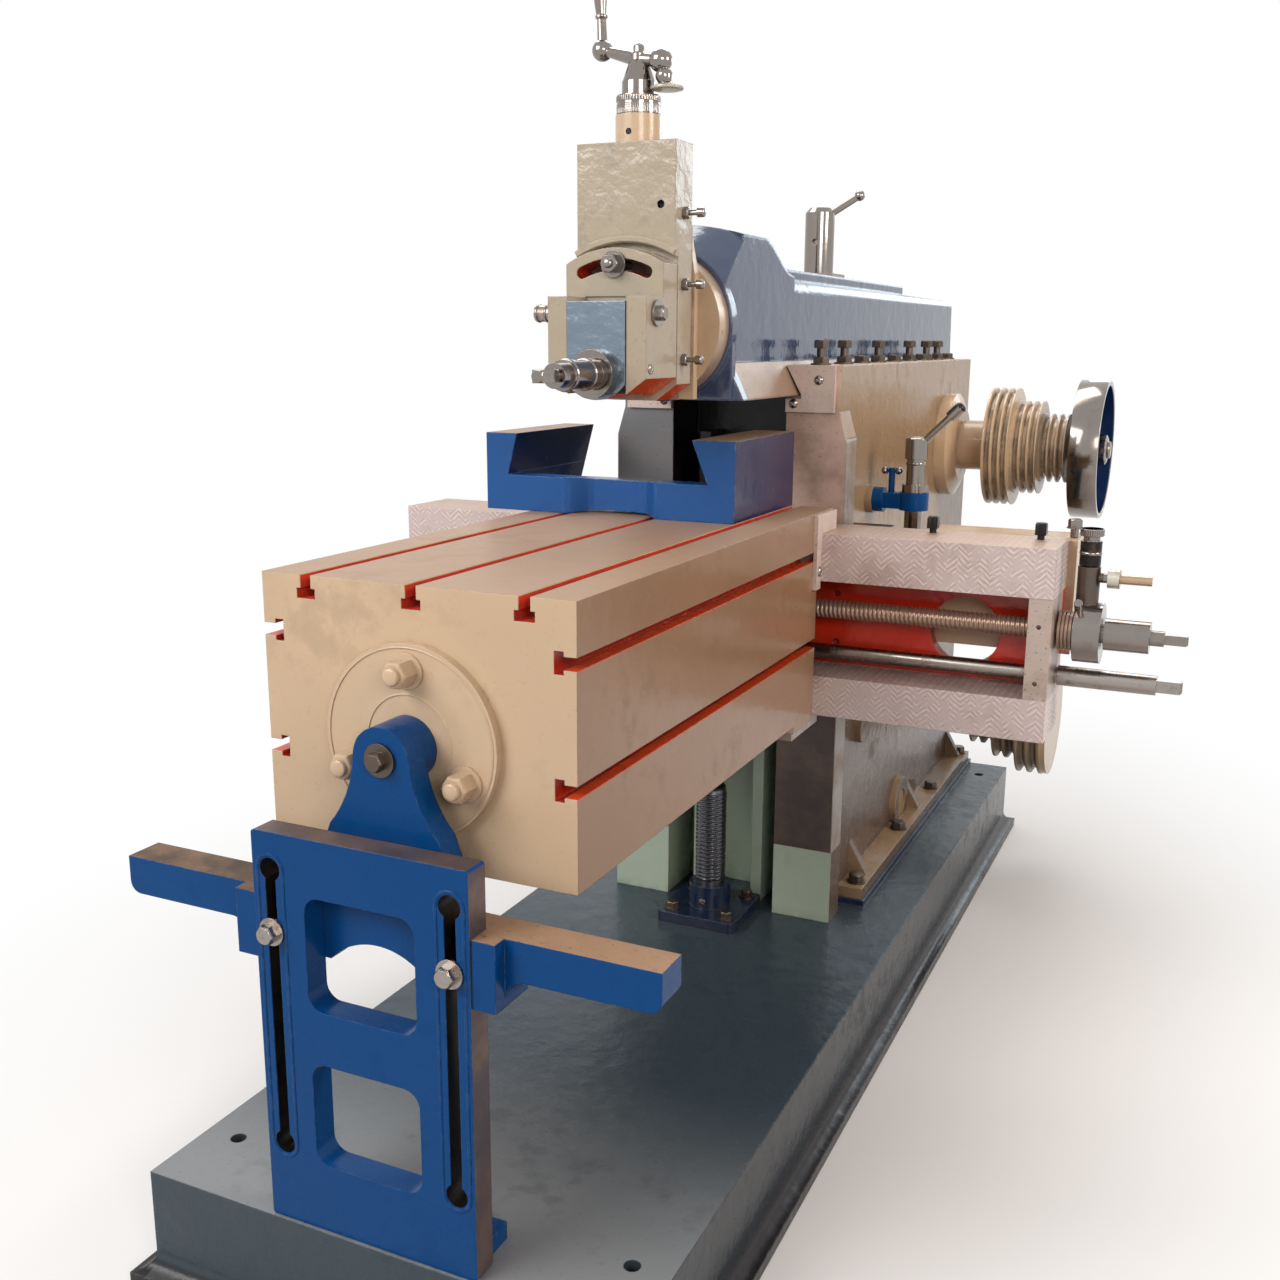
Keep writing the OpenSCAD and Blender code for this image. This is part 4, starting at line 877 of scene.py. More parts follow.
def turned(profile: list[tuple], segments: int = 48, ends: Ends = Ends.FAN) -> Shell:
    """A body of revolution: each profile pair (r, s) gives the points (r cos a, r sin a, s).

    Args:
        profile: The pairs of radius and height.
        segments: Points round the axis.
        ends: How the first and last pair are closed.

    Returns:
        The shell, with its axis on Z.
    """
    prof = np.array(profile, float)
    a = np.linspace(0, math.tau, segments, endpoint=False)[None, :]
    r, s = prof[:, :1], prof[:, 1:]
    return lofted(np.stack(np.broadcast_arrays(r * np.cos(a), r * np.sin(a), s), -1), ends)


def dome(radius: float, rise: float) -> Shell:
    """A cap whose radius falls as the cosine and whose height grows as the sine of one angle.

    Args:
        radius: Radius of its foot.
        rise: Its height.

    Returns:
        The shell.
    """
    t = np.linspace(0, math.pi / 2 * 0.94, 7)
    profile = [(radius, -0.4), *zip(radius * np.cos(t), rise * np.sin(t))]
    return turned([(float(r), float(s)) for r, s in profile], 32)


def ball(radius: float) -> Shell:
    """A sphere as a revolved half circle."""
    t = np.linspace(-1.45, 1.45, 19)
    return turned([(radius * math.cos(v), radius * math.sin(v)) for v in t], 36)


def hoop(radius: float, across: float, high: float) -> Shell:
    """A raised band round a rod: half a wave of the given height over the width across.

    Args:
        radius: The rod's radius.
        across: Its width along the rod.
        high: Its height over the rod.

    Returns:
        The shell.
    """
    t = np.linspace(0, math.pi, 7)
    s = -np.cos(t) * across / 2
    r = radius - 0.3 + (high + 0.3) * np.sin(t)
    inner = [(radius - 1.0, across / 2), (radius - 1.0, -across / 2)]
    return turned([*zip(r.tolist(), s.tolist()), *inner], 56, Ends.LOOP)


def threaded(
    start: float, end: float, root: float, crest: float, pitch: float, segments: int = 40, bore: float = 0.0
) -> Shell:
    """A screw thread along Z, as a rod or, with a bore's radius, as a tube.

    The radius at angle a and height s follows a trapezoid of the phase s / pitch - a / 2 pi: a flat
    crest, two sloping flanks and a flat root. Both ends fade into the root.

    Args:
        start, end: Where it starts and ends along Z.
        root, crest: Its radii.
        pitch: Distance between turns.
        segments: Points round the axis.
        bore: The tube's inner radius, if any.

    Returns:
        The shell.
    """
    rows = int((end - start) / pitch * 8) + 1
    s = np.linspace(start, end, rows)[:, None]
    a = np.linspace(0, math.tau, segments, endpoint=False)[None, :]
    near = np.abs(np.mod(s / pitch - a / math.tau, 1.0) - 0.5) * 2.0
    fade = np.clip(np.minimum(s - start, end - s) / pitch, 0.0, 1.0)
    r = root + (crest - root) * np.clip((0.68 - near) / 0.30, 0.0, 1.0) * fade
    if bore > 0.0:
        r = np.concatenate([r, np.full((2, segments), bore)])
        s = np.concatenate([s, [[end], [start]]])
    rings = np.stack(np.broadcast_arrays(r * np.cos(a), r * np.sin(a), s), -1)
    return lofted(rings, Ends.LOOP if bore > 0.0 else Ends.FAN)


def prism_cap(
    corner: float, sides: int = 6, rise: float = 2.4, turn: float = 0.0, deep: float = 1.0
) -> Shell:
    """The chamfered top of a bolt head, standing on a head of the same outline, or reaching down deep.

    The lowest ring is the outline, whose radius is the flats' over the cosine of the angle from the
    nearest flat; above it the corners draw in to a circle.

    Args:
        corner: Radius to the corners.
        sides: Number of flats.
        rise: Height of the chamfer.
        turn: Angle of the first corner in radians.
        deep: How far it reaches down.

    Returns:
        The shell.
    """
    a = np.linspace(0, math.tau, 48, endpoint=False)
    half = math.pi / sides
    flat = corner * math.cos(half)
    edge = flat / np.cos(np.mod(a - turn, 2 * half) - half) * 0.9985
    rows = ((edge, -deep), (edge, 0.0), (edge * 0.3 + flat * 0.69, rise * 0.62), (flat * 0.93, rise))
    return lofted(np.stack([ring(r, a, height) for r, height in rows]))


def square_cap(half: float, rise: float = 3.0, deep: float = 1.0) -> Shell:
    """The chamfered top of a square head.

    Args:
        half: Half its width.
        rise: Height of the chamfer.
        deep: How far it reaches down.

    Returns:
        The shell.
    """
    return prism_cap(half * math.sqrt(2), 4, rise, math.pi / 4, deep)


def screw_head(radius: float, height: float) -> Shell:
    """A domed screw head with a driver slot.

    On rings of growing angle the height is a quarter wave; where a point lies within a tenth of the
    radius of the slot's line, the height drops by up to half.

    Args:
        radius: Its radius.
        height: Its height.

    Returns:
        The shell.
    """
    a = np.linspace(0, math.tau, 72, endpoint=False)[None, :]
    t = np.linspace(0, math.pi / 2 * 0.97, 12)[:, None]
    r = radius * np.cos(t)
    x, y = r * np.cos(a), r * np.sin(a)
    slot = np.clip((0.16 * radius - np.abs(x * 0.34 + y * 0.94)) / (0.05 * radius), 0.0, 1.0)
    z = height * np.sin(t) - slot * 0.45 * height * np.clip(np.sin(t) * 2.2, 0.0, 1.0)
    rings = np.stack(np.broadcast_arrays(x, y, z), -1)
    foot = rings[:1] * np.array([1, 1, 0.0]) - np.array([0, 0, 0.8])
    return lofted(np.concatenate([foot, rings]))


def ribbed(radius: float, high: float, ribs: int, depth: float) -> Shell:
    """A short drum with fine ribs: the radius adds depth times the ribs' rounded wave.

    Args:
        radius: Radius between the ribs.
        high: Its height.
        ribs: Their number.
        depth: Their height.

    Returns:
        The shell.
    """
    a = np.linspace(0, math.tau, ribs * 6, endpoint=False)
    r = radius + depth * np.abs(np.sin(a * ribs / 2))
    rows = ((radius - 1.5, 0.0), (radius, 0.3), (r, 0.9), (r, high - 0.9), (radius - 0.8, high))
    return lofted(np.stack([ring(k, a, height) for k, height in rows]))


def strip(path: np.ndarray, wide: float, high: float, closed: bool) -> Shell:
    """A flat-topped raised strip along a path in the local XY plane, standing up along Z.

    Each path point carries the same profile of (offset, height) pairs, laid out along the path's own
    normal, the left side of its direction.

    Args:
        path: (N, 2) points.
        wide: Its width.
        high: Its height.
        closed: Whether the path runs back to its start.

    Returns:
        The shell.
    """
    if closed:
        way = np.roll(path, -1, 0) - np.roll(path, 1, 0)
    else:
        way = np.gradient(path, axis=0)
    way = way / np.linalg.norm(way, axis=1, keepdims=True)
    side = np.stack([-way[:, 1], way[:, 0]], 1)
    half = wide / 2
    right = [(half, -0.6), (half, high * 0.35), (half * 0.6, high)]
    prof = np.array([(-x, z) for x, z in right] + right[::-1])
    flat = path[:, None, :] + side[:, None, :] * prof[None, ::-1, :1]
    up = np.broadcast_to(prof[None, ::-1, 1:], (len(path), len(prof), 1))
    return lofted(np.concatenate([flat, up], -1), Ends.LOOP if closed else Ends.FAN)


def bar(profile: list[tuple], low: float, high: float) -> Shell:
    """A prism along Y from low to high. Its convex outline (x, z) runs anticlockwise from the front.

    Args:
        profile: The outline.
        low, high: Where it starts and ends along Y.

    Returns:
        The shell.
    """
    flat = np.array(profile, float)
    rings = [np.stack([flat[:, 0], np.full(len(flat), y), flat[:, 1]], -1) for y in (high, low)]
    return lofted(np.stack(rings))


def stadium(x: float, low: float, high: float, radius: float) -> np.ndarray:
    """Points round a slot's outline: half circles at both ends joined by straight sides.

    Args:
        x: Place of the slot.
        low, high: Heights of the centres of its round ends.
        radius: Their radius.

    Returns:
        (N, 2) points.
    """
    a = np.linspace(0, math.pi, 13)
    top = np.stack([x + radius * np.cos(a), high + radius * np.sin(a)], 1)
    return np.concatenate([top, np.stack([x - radius * np.cos(a), low - radius * np.sin(a)], 1)])


def copies(shell: Shell, way: tuple, spots: list[tuple]) -> Shell:
    """The shell at each spot, all looking the same way."""
    return merged([shell.moved(way, spot) for spot in spots])


def paint(obj: bpy.types.Object, finish: Finish) -> None:
    """Gives the object one material, in its own slot list."""
    obj.data.materials.clear()
    obj.data.materials.append(finish.material())


def shade_by_angle(obj: bpy.types.Object, degrees: float = 32.0) -> None:
    """Marks faces smooth and edges sharp above the angle."""
    obj.data.polygons.foreach_set("use_smooth", np.ones(len(obj.data.polygons), bool))
    obj.data.set_sharp_from_angle(angle=math.radians(degrees))


# Skins
def painted(r: int, g: int, b: int, rough: float, amount: float = 1.0) -> Skin:
    """Paint of a display colour."""
    return Skin(Kind.PAINT, srgb(r, g, b), rough, amount=amount)


def bare(r: int, g: int, b: int, rough: float, metal: float = 0.0, amount: float = 1.0) -> Skin:
    """Bare machined iron of a display colour."""
    return Skin(Kind.RAW, srgb(r, g, b), rough, metal, amount)


def steel(colour: tuple, rough: float, metal: float = 1.0, amount: float = 1.0, along: Axis = Axis.Z) -> Skin:
    """Turned or ground steel of a linear colour."""
    return Skin(Kind.TURNED, colour, rough, metal, amount, along)


GLOSS_CREAM = painted(204, 178, 148, 0.20, 0.7)
GLOSS_SLIDE = painted(176, 164, 144, 0.16, 1.2)
# A darker, browner copy of the cream paint: partly the column's own tone, partly painted shade for its dimly
# lit walls
GLOSS_COLUMN = painted(158, 132, 103, 0.24, 1.1)
# Painted shade: the column paint darkened for the lower part of its right wall
COLUMN_LOW_SHADE = painted(104, 88, 78, 0.24, 1.4)
# Painted shade and painted warm reflection for the table's right side
TABLE_SIDE_SHADE = painted(126, 88, 62, 0.2)
GLOSS_BLUE = painted(4, 68, 128, 0.26, 0.5)
GLOSS_RAM = painted(54, 72, 106, 0.10, 0.7)
GLOSS_BASE = painted(56, 70, 80, 0.24, 1.2)
# Painted reflection: a pale grey band of overhead light on the base
BASE_FRONT_REFLECTION = painted(160, 162, 164, 0.4, 1.3)
# Painted shade for the base's sides and front
BASE_SIDE_SHADE = painted(26, 22, 27, 0.2)
CAST_PAINT = painted(30, 84, 150, 0.24, 0.5)
# Painted shade for the loose casting's right side
CAST_SIDE_SHADE = painted(46, 44, 84, 0.2)
FOOT_PAINT = painted(22, 36, 62, 0.22)
MOTOR_PAINT = painted(96, 108, 108, 0.4)
LOW_PULLEY = painted(150, 132, 112, 0.3)
FLAT_GREEN = painted(172, 186, 168, 0.3)
TOP_RED = painted(206, 66, 42, 0.25)
WEB_RED = painted(208, 50, 28, 0.16, 1.5)
GLOSS_RED = painted(186, 50, 28, 0.2)
EDGE_RED = painted(214, 78, 36, 0.24)
GLOSS_NAVY = painted(16, 42, 84, 0.18)
# Painted shade: black for holes, slots, the recess and hollows
HOLLOW_SHADE_BLACK = painted(16, 14, 16, 0.3)
SCRAPED = Skin(Kind.SCRAPED, srgb(206, 188, 184), 0.36, metal=0.4, amount=0.6)
# Painted reflection: the upper right way brighter
WAY_REFLECTION = bare(224, 194, 178, 0.36, 0.2, 0.7)
WAY_GREY = bare(124, 128, 132, 0.36, 0.3, 0.3)
# Painted shade for the ways under the table
WAY_SHADE = bare(84, 74, 74, 0.32, 0.35, 0.5)
RAW = bare(176, 172, 168, 0.42, 0.35)
RAW_BROWN = Skin(Kind.RAW, BROWN_IRON, 0.40, metal=0.2, amount=0.8)
RAW_TOP = bare(178, 144, 114, 0.44, 0.25, 0.5)
BEAM_LEFT_TOP = bare(64, 54, 48, 0.6)
TABLE_TOP = bare(146, 104, 72, 0.5, amount=0.5)
RAW_DARK = bare(96, 84, 78, 0.40, 0.6)
END_BLOCK = bare(200, 180, 170, 0.36, 0.35, 0.6)
WIPER = bare(228, 208, 198, 0.38, 0.15, 0.3)
GIB = bare(196, 182, 160, 0.4, 0.35)
DISC_FACE = bare(190, 186, 168, 0.36, 0.4, 0.4)
TURNED_X = steel(STEEL, 0.20, along=Axis.X)
TURNED_Y = steel(STEEL, 0.20, along=Axis.Y)
TURNED_Z = steel(STEEL, 0.20)
BRIGHT_X = steel(CHROME, 0.13, amount=0.45, along=Axis.X)
BRIGHT_Y = steel(CHROME, 0.13, amount=0.35, along=Axis.Y)
BRIGHT_Z = steel(CHROME, 0.13, amount=0.35)
CHROMED = steel(CHROME, 0.08, amount=0.15)
BRASS_ROD = steel(srgb(186, 160, 136), 0.22, amount=0.5, along=Axis.X)
BLACKENED = steel(srgb(34, 31, 30), 0.34, 0.7, 0.5)
DARK_BOLT = steel(srgb(96, 86, 78), 0.30, 0.9, 0.8)
OILED = steel(srgb(120, 112, 100), 0.34, 0.9, along=Axis.X)
SCREW_STEEL = steel(srgb(168, 140, 122), 0.28, 0.6, 0.5, Axis.X)
SLEEVE_STEEL = steel(srgb(96, 96, 102), 0.26, 0.9, 0.6)
RIM_STEEL = steel(srgb(198, 172, 150), 0.3, 0.5, along=Axis.Y)
STUD_NUT = steel(srgb(206, 200, 186), 0.24, 0.8, along=Axis.X)

# Finishes
F_BASE = Finish(
    "base_paint",
    GLOSS_BASE,
    [
        # Painted reflection: the base's top paler towards the front
        Zone(BASE_FRONT_REFLECTION, high=(FAR, -620, FAR), way=(0, 0, 1), soft=(1, 560, 1), share=0.6),
        Zone(GLOSS_NAVY, (205, 80, 165.6), (269, 1160, 176.6), mirror=True),
        # Painted shade: the base's sides and front face near black
        Zone(BASE_SIDE_SHADE, (360, -FAR, -FAR), mirror=True, soft=(4, 1, 1)),
        Zone(BASE_SIDE_SHADE, high=(FAR, -1162, FAR), soft=(1, 4, 1), share=0.8),
    ],
    worn=(0.16, 0.17, 0.18, 1.0), wear=0.5, round_mm=4.0, grime_and_shade=0.6, relief=0.9, shine=0.3,
)
F_COLUMN = Finish(
    "column_paint",
    GLOSS_COLUMN,
    [
        # Painted shade: the right wall darker towards the bottom
        Zone(COLUMN_LOW_SHADE, high=(FAR, FAR, 780), way=(1, 0, 0), soft=(1, 1, 380)),
        Zone(FLAT_GREEN, (-113, 0.5, 0), (113, 200, 760)),
        # Painted shade: the column's recess black in its upper part
        Zone(HOLLOW_SHADE_BLACK, (-113, 0.5, 700), (113, 200, 1240), soft=(0.8, 0.8, 60)),
        Zone(FLAT_GREEN, (110, -1, 0), (230, 1, 309), mirror=True),
        # Painted shade: the ways dark below the table
        Zone(WAY_SHADE, (110, -1, 309), (240, 1, 960), mirror=True, way=(0, -1, 0)),
        Zone(WAY_GREY, (-240, -1, 940), (-110, 1, 1230), way=(0, -1, 0)),
        # Painted reflection: the upper right way bright and brownish
        Zone(WAY_REFLECTION, (110, -1, 940), (240, 1, 1230), way=(0, -1, 0)),
        Zone(RAW, (226, -1, 309), (240, 61, 1100), mirror=True),
        Zone(RAW_TOP, (190, -1, 1223), (214, 1140, 1230), mirror=True, way=(0, 0, 1)),
        # Painted shade: black inside the column's top opening
        Zone(HOLLOW_SHADE_BLACK, (-184, 170, 1100), (184, 1100, 1172)),
    ],
    wear=0.3, round_mm=3.0, grime_and_shade=0.5, relief=0.8, shine=0.35,
)
F_CREAM = Finish("cream_paint", GLOSS_CREAM, wear=0.25, round_mm=2.4, relief=0.8, shine=0.4)
F_CREAM_FINE = Finish("cream_paint_fine", GLOSS_CREAM, wear=0.2, round_mm=1.4)
F_TABLE = Finish(
    "table_paint",
    GLOSS_CREAM,
    [
        # Painted shade and warm reflection: the table's right side darker and browner
        Zone(TABLE_SIDE_SHADE, (224, -FAR, 0), (FAR, FAR, 1000), way=(1, 0, 0), share=0.75),
        Zone(TABLE_TOP, (-FAR, -FAR, 979.5), (FAR, FAR, 990), way=(0, 0, 1)),
        *[Zone(TOP_RED, (x - 15, -1029.4, 949), (x + 15, FAR, 979.4)) for x in (-157, 0, 157)],
        *[Zone(GLOSS_RED, (194, -1029.4, z - 15), (224.4, FAR, z + 15), mirror=True) for z in (752, 906)],
        # Painted highlight: the lit lower lip of each side slot in brighter orange
        *[Zone(EDGE_RED, (206, -1029.4, z - 9.5), (226, FAR, z - 7.2), mirror=True) for z in (752, 906)],
        Zone(RAW, (-FAR, -145, 590), (FAR, 0, 979), way=(0, 1, 0)),
    ],
    wear=0.22, round_mm=1.6, grime_and_shade=0.35, shine=0.35,
)
F_BLUE = Finish(
    "blue_paint", GLOSS_BLUE, worn=WORN_BLUE, wear=0.5, round_mm=2.2, grime_and_shade=0.25, relief=0.4, shine=0.15
)
F_FOOT = Finish("foot_paint", FOOT_PAINT, wear=0.3, round_mm=2.2, grime_and_shade=0.6)
F_FRAME = Finish(
    "frame_paint",
    GLOSS_BLUE,
    [
        Zone(RAW_DARK, (-160, -FAR, 689.4), (160, FAR, 700), way=(0, 0, 1)),
        Zone(RAW_DARK, (153.4, -1160, 165), (160, -1100, 700), way=(1, 0, 0)),
        # Painted shade: black in the support frame's slots
        Zone(HOLLOW_SHADE_BLACK, (110, -1156.9, 250), (147, -1110, 660), mirror=True),
    ],
    worn=(0.10, 0.16, 0.24, 1.0), wear=0.6, round_mm=2.2, grime_and_shade=0.25, relief=0.35, shine=0.15,
)
F_BEAM = Finish(
    "beam_paint",
    GLOSS_BLUE,
    [
        Zone(RAW_TOP, (-FAR, -FAR, 606.3), (FAR, FAR, 610), way=(0, 0, 1)),
        Zone(BEAM_LEFT_TOP, (-FAR, -FAR, 606.3), (-150, FAR, 610), way=(0, 0, 1)),
    ],
    worn=WORN_BLUE, wear=0.6, round_mm=2.0, grime_and_shade=0.25, relief=0.4, shine=0.15,
)
F_CASTING = Finish(
    "casting_paint",
    CAST_PAINT,
    [
        # Painted shade: the casting's right side darker
        Zone(CAST_SIDE_SHADE, (148, -FAR, 980), (FAR, FAR, 1120), way=(1, 0, 0)),
        Zone(RAW_BROWN, (-FAR, -FAR, 1110), (FAR, FAR, 1120), way=(0, 0, 1)),
        Zone(GLOSS_NAVY, (-286, -346, 1041.5), (127, FAR, 1110.8)),
        Zone(GLOSS_NAVY, (-286, -306, 980), (127, FAR, 1041.6)),
    ],
    worn=(0.24, 0.30, 0.38, 1.0), wear=0.9, round_mm=2.4, grime_and_shade=0.2, relief=0.4, shine=0.3,
)
F_RAM = Finish(
    "ram_paint",
    GLOSS_RAM,
    [
        Zone(RAW_BROWN, (100, -262, 1171), (140, FAR, 1232.5), mirror=True),
        Zone(RAW, (-140, -262, 1168), (140, FAR, 1172.6), way=(0, 0, -1)),
        # Painted shade: black inside the ram's hollow
        Zone(HOLLOW_SHADE_BLACK, (-82, -226, 1180), (82, 1350, 1351)),
    ],
    worn=(0.2, 0.22, 0.26, 1.0), wear=0.25, round_mm=6.0, grime_and_shade=0.2, relief=1.1, shine=0.75,
)
F_RAIL = Finish(
    "rail_iron",
    SCRAPED,
    [
        Zone(RAW_TOP, (-FAR, -FAR, 943.5), (FAR, FAR, 950), way=(0, 0, 1)),
        Zone(RAW, (-FAR, -FAR, 600), (FAR, FAR, 622), way=(0, 0, -1)),
        Zone(WEB_RED, (-FAR, -139, 692.5), (FAR, -29, 861.5)),
        Zone(EDGE_RED, (-FAR, -100, 692.5), (FAR, -29, 712), share=0.7, soft=(1, 1, 12)),
        Zone(GLOSS_CREAM, (230, -29, 600), (FAR, 10, 960), way=(0, 1, 0), mirror=True),
        Zone(GLOSS_RED, (-FAR, -29.5, 692.5), (FAR, -1, 861.5)),
        # Painted shade: a black hole in the rail's web
        Zone(HOLLOW_SHADE_BLACK, (-240, -31, 690), (-216, -29.4, 864), turn=(Axis.Y, -230, 732, 7)),
    ],
    wear=0.25, round_mm=1.6,
)
F_BARE = Finish("bare_iron", RAW, round_mm=1.2)
F_END = Finish("end_block_iron", END_BLOCK, round_mm=1.4)
F_PLATE = Finish("wiper_plate", WIPER, round_mm=1.0)
F_GIB = Finish("gib_iron", GIB, wear=0.2, round_mm=1.6)
F_TURNED_X = Finish("turned_x", TURNED_X, round_mm=0.8)
F_TURNED_Y = Finish("turned_y", TURNED_Y, round_mm=0.8)
F_TURNED_Z = Finish("turned_z", TURNED_Z, round_mm=0.8)
F_BRIGHT_X = Finish("bright_x", BRIGHT_X, grime_and_shade=0.15)
F_BRIGHT_Y = Finish("bright_y", BRIGHT_Y, grime_and_shade=0.15)
F_BRIGHT_Z = Finish("bright_z", BRIGHT_Z, grime_and_shade=0.15)
F_CHROME = Finish("chrome", CHROMED, round_mm=1.2, grime_and_shade=0.1)
F_BLACK = Finish("black_steel", BLACKENED, round_mm=0.8, grime_and_shade=0.2)
F_BOLT = Finish("bolt_steel", DARK_BOLT, round_mm=0.8)
F_OILED = Finish("oiled_steel", OILED, round_mm=0.8, grime_and_shade=0.5)
F_SCREW = Finish(
    "feed_screw_steel", SCREW_STEEL, [Zone(BRIGHT_X, (648, -FAR, 700), (FAR, FAR, 900))], round_mm=0.6
)
F_SLEEVE = Finish(
    "sleeve_steel", SLEEVE_STEEL, [Zone(BLACKENED, (-40, -90, 424), (40, 0, 440))], round_mm=0.6
)
F_MOTOR = Finish("motor_paint", MOTOR_PAINT, wear=0.2, round_mm=1.6)
F_SWIVEL = Finish(
    "swivel_paint",
    GLOSS_CREAM,
    [
        Zone(RIM_STEEL, (-FAR, -339.4, -FAR), (FAR, -290, FAR), turn=(Axis.Y, 0, 1290, 114), outside=True),
        Zone(RAW, (-70, -379, 1100), (70, -355.2, 1440)),
    ],
    wear=0.2, round_mm=1.6, relief=0.8,
)
F_SLIDE = Finish(
    "slide_paint",
    GLOSS_SLIDE,
    [
        Zone(EDGE_RED, (-90, -460, 1170), (90, -300, 1203), way=(0, 0, -1), least=0.5),
        # Painted shade: a black hole in the slide's front
        Zone(HOLLOW_SHADE_BLACK, (40, -440.6, 1440), (70, -380, 1490), turn=(Axis.Y, 58, 1465, 6.6)),
    ],
    wear=0.2, round_mm=2.4, relief=1.2,
)
F_BOX = Finish(
    "clapper_box_paint",
    GLOSS_SLIDE,
    [
        Zone(EDGE_RED, (-90, -600, 1180), (90, -300, 1213), way=(0, 0, -1), least=0.5),
        Zone(GLOSS_RED, (-72, -479.5, 1335), (72, -425, 1395), turn=(Axis.Y, 0, 1250, 141)),
    ],
    wear=0.2, round_mm=2.0, grime_and_shade=0.25, relief=1.0,
)
F_CLAPPER = Finish(
    "clapper_steel",
    Skin(Kind.PAINT, srgb(124, 138, 150), 0.20, metal=1.0, amount=1.2),
    [Zone(EDGE_RED, (-90, -600, 1170), (90, -300, 1190), way=(0, 0, -1))],
    round_mm=2.0, grime_and_shade=0.1, relief=1.2,
)
F_PAWL = Finish(
    "pawl_steel",
    BRIGHT_X,
    [
        Zone(BRASS_ROD, (714.5, -90, 880), (FAR, -50, 906)),
        Zone(STUD_NUT, (695.6, -95, 870), (714.6, -50, 915)),
        Zone(DARK_BOLT, (640, -100, 845), (690, -50, 912)),
    ],
)
F_PLUNGER = Finish(
    "plunger_steel", BLACKENED, [Zone(BRIGHT_Z, (640, -95, 952.5), (690, -50, 980))], round_mm=1.0
)
F_WHEEL = Finish(
    "handwheel_steel",
    BRIGHT_X,
    [Zone(GLOSS_NAVY, (526.5, 500, 500), (575.4, 1200, 1300), turn=(Axis.X, 870, 1030, 144))],
    round_mm=1.4, grime_and_shade=0.2,
)
F_CLAMPS = Finish(
    "clamp_bolt_steel", BLACKENED, [Zone(BRIGHT_Z, (604, 20, 900), (650, 70, 1000))], round_mm=0.8
)
F_CRANK = Finish(
    "crank_chrome", CHROMED, [Zone(DISC_FACE, (20, -500, 1626), (100, -300, 1637.5))], round_mm=1.0, grime_and_shade=0.1
)
F_PINS = Finish("pin_steel", OILED, [Zone(GLOSS_COLUMN, (200, 0, 0), mirror=True)], grime_and_shade=0.5)
F_PULLEY = Finish("pulley_paint", GLOSS_CREAM, wear=0.2, round_mm=1.6, grime_and_shade=0.7)
F_PULLEY_LOW = Finish(
    "lower_pulley_paint", LOW_PULLEY, [Zone(GLOSS_CREAM, (494, 0, 0))], wear=0.2, round_mm=1.6, grime_and_shade=0.7
)


# Sub-assemblies
@dataclass
class Assembly:
    """One group of the machine: paints its CAD nodes and adds its own pieces.

    Attributes:
        name: Used in the log.
        finishes: Finish for each CAD node.
    """

    name: str
    finishes: dict[str, Finish] = field(default_factory=dict)

    def dress(self) -> None:
        """Paints the nodes, then builds the pieces."""
        for node, finish in self.finishes.items():
            paint(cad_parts[node], finish)
        self.build()
        LOG.info("%s: %d nodes painted", self.name, len(self.finishes))

    def build(self) -> None:
        """Adds pieces; a plain group has none."""

    def add(self, name: str, shell: Shell, body: str, finish: Finish, slot: str, instead: str = "") -> None:
        """Makes a piece, finishes it, ties it to its body and hides the CAD node that it stands for.

        Args:
            name: Object name.
            shell: Its surface in millimetres.
            body: The body that carries it.
            finish: Its finish.
            slot: A material slot's name; not used.
            instead: The CAD node that it stands for, if any.
        """
        obj = shell.object(name)
        paint(obj, finish)
        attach(obj, body)
        if instead:
            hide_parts(instead)
        LOG.info("piece %s on %s: %d points", name, body, len(shell.points))


FRONT, REAR, RIGHT, UP = (0, -1, 0), (0, 1, 0), (1, 0, 0), (0, 0, 1)
BOTH = (-1, 1)


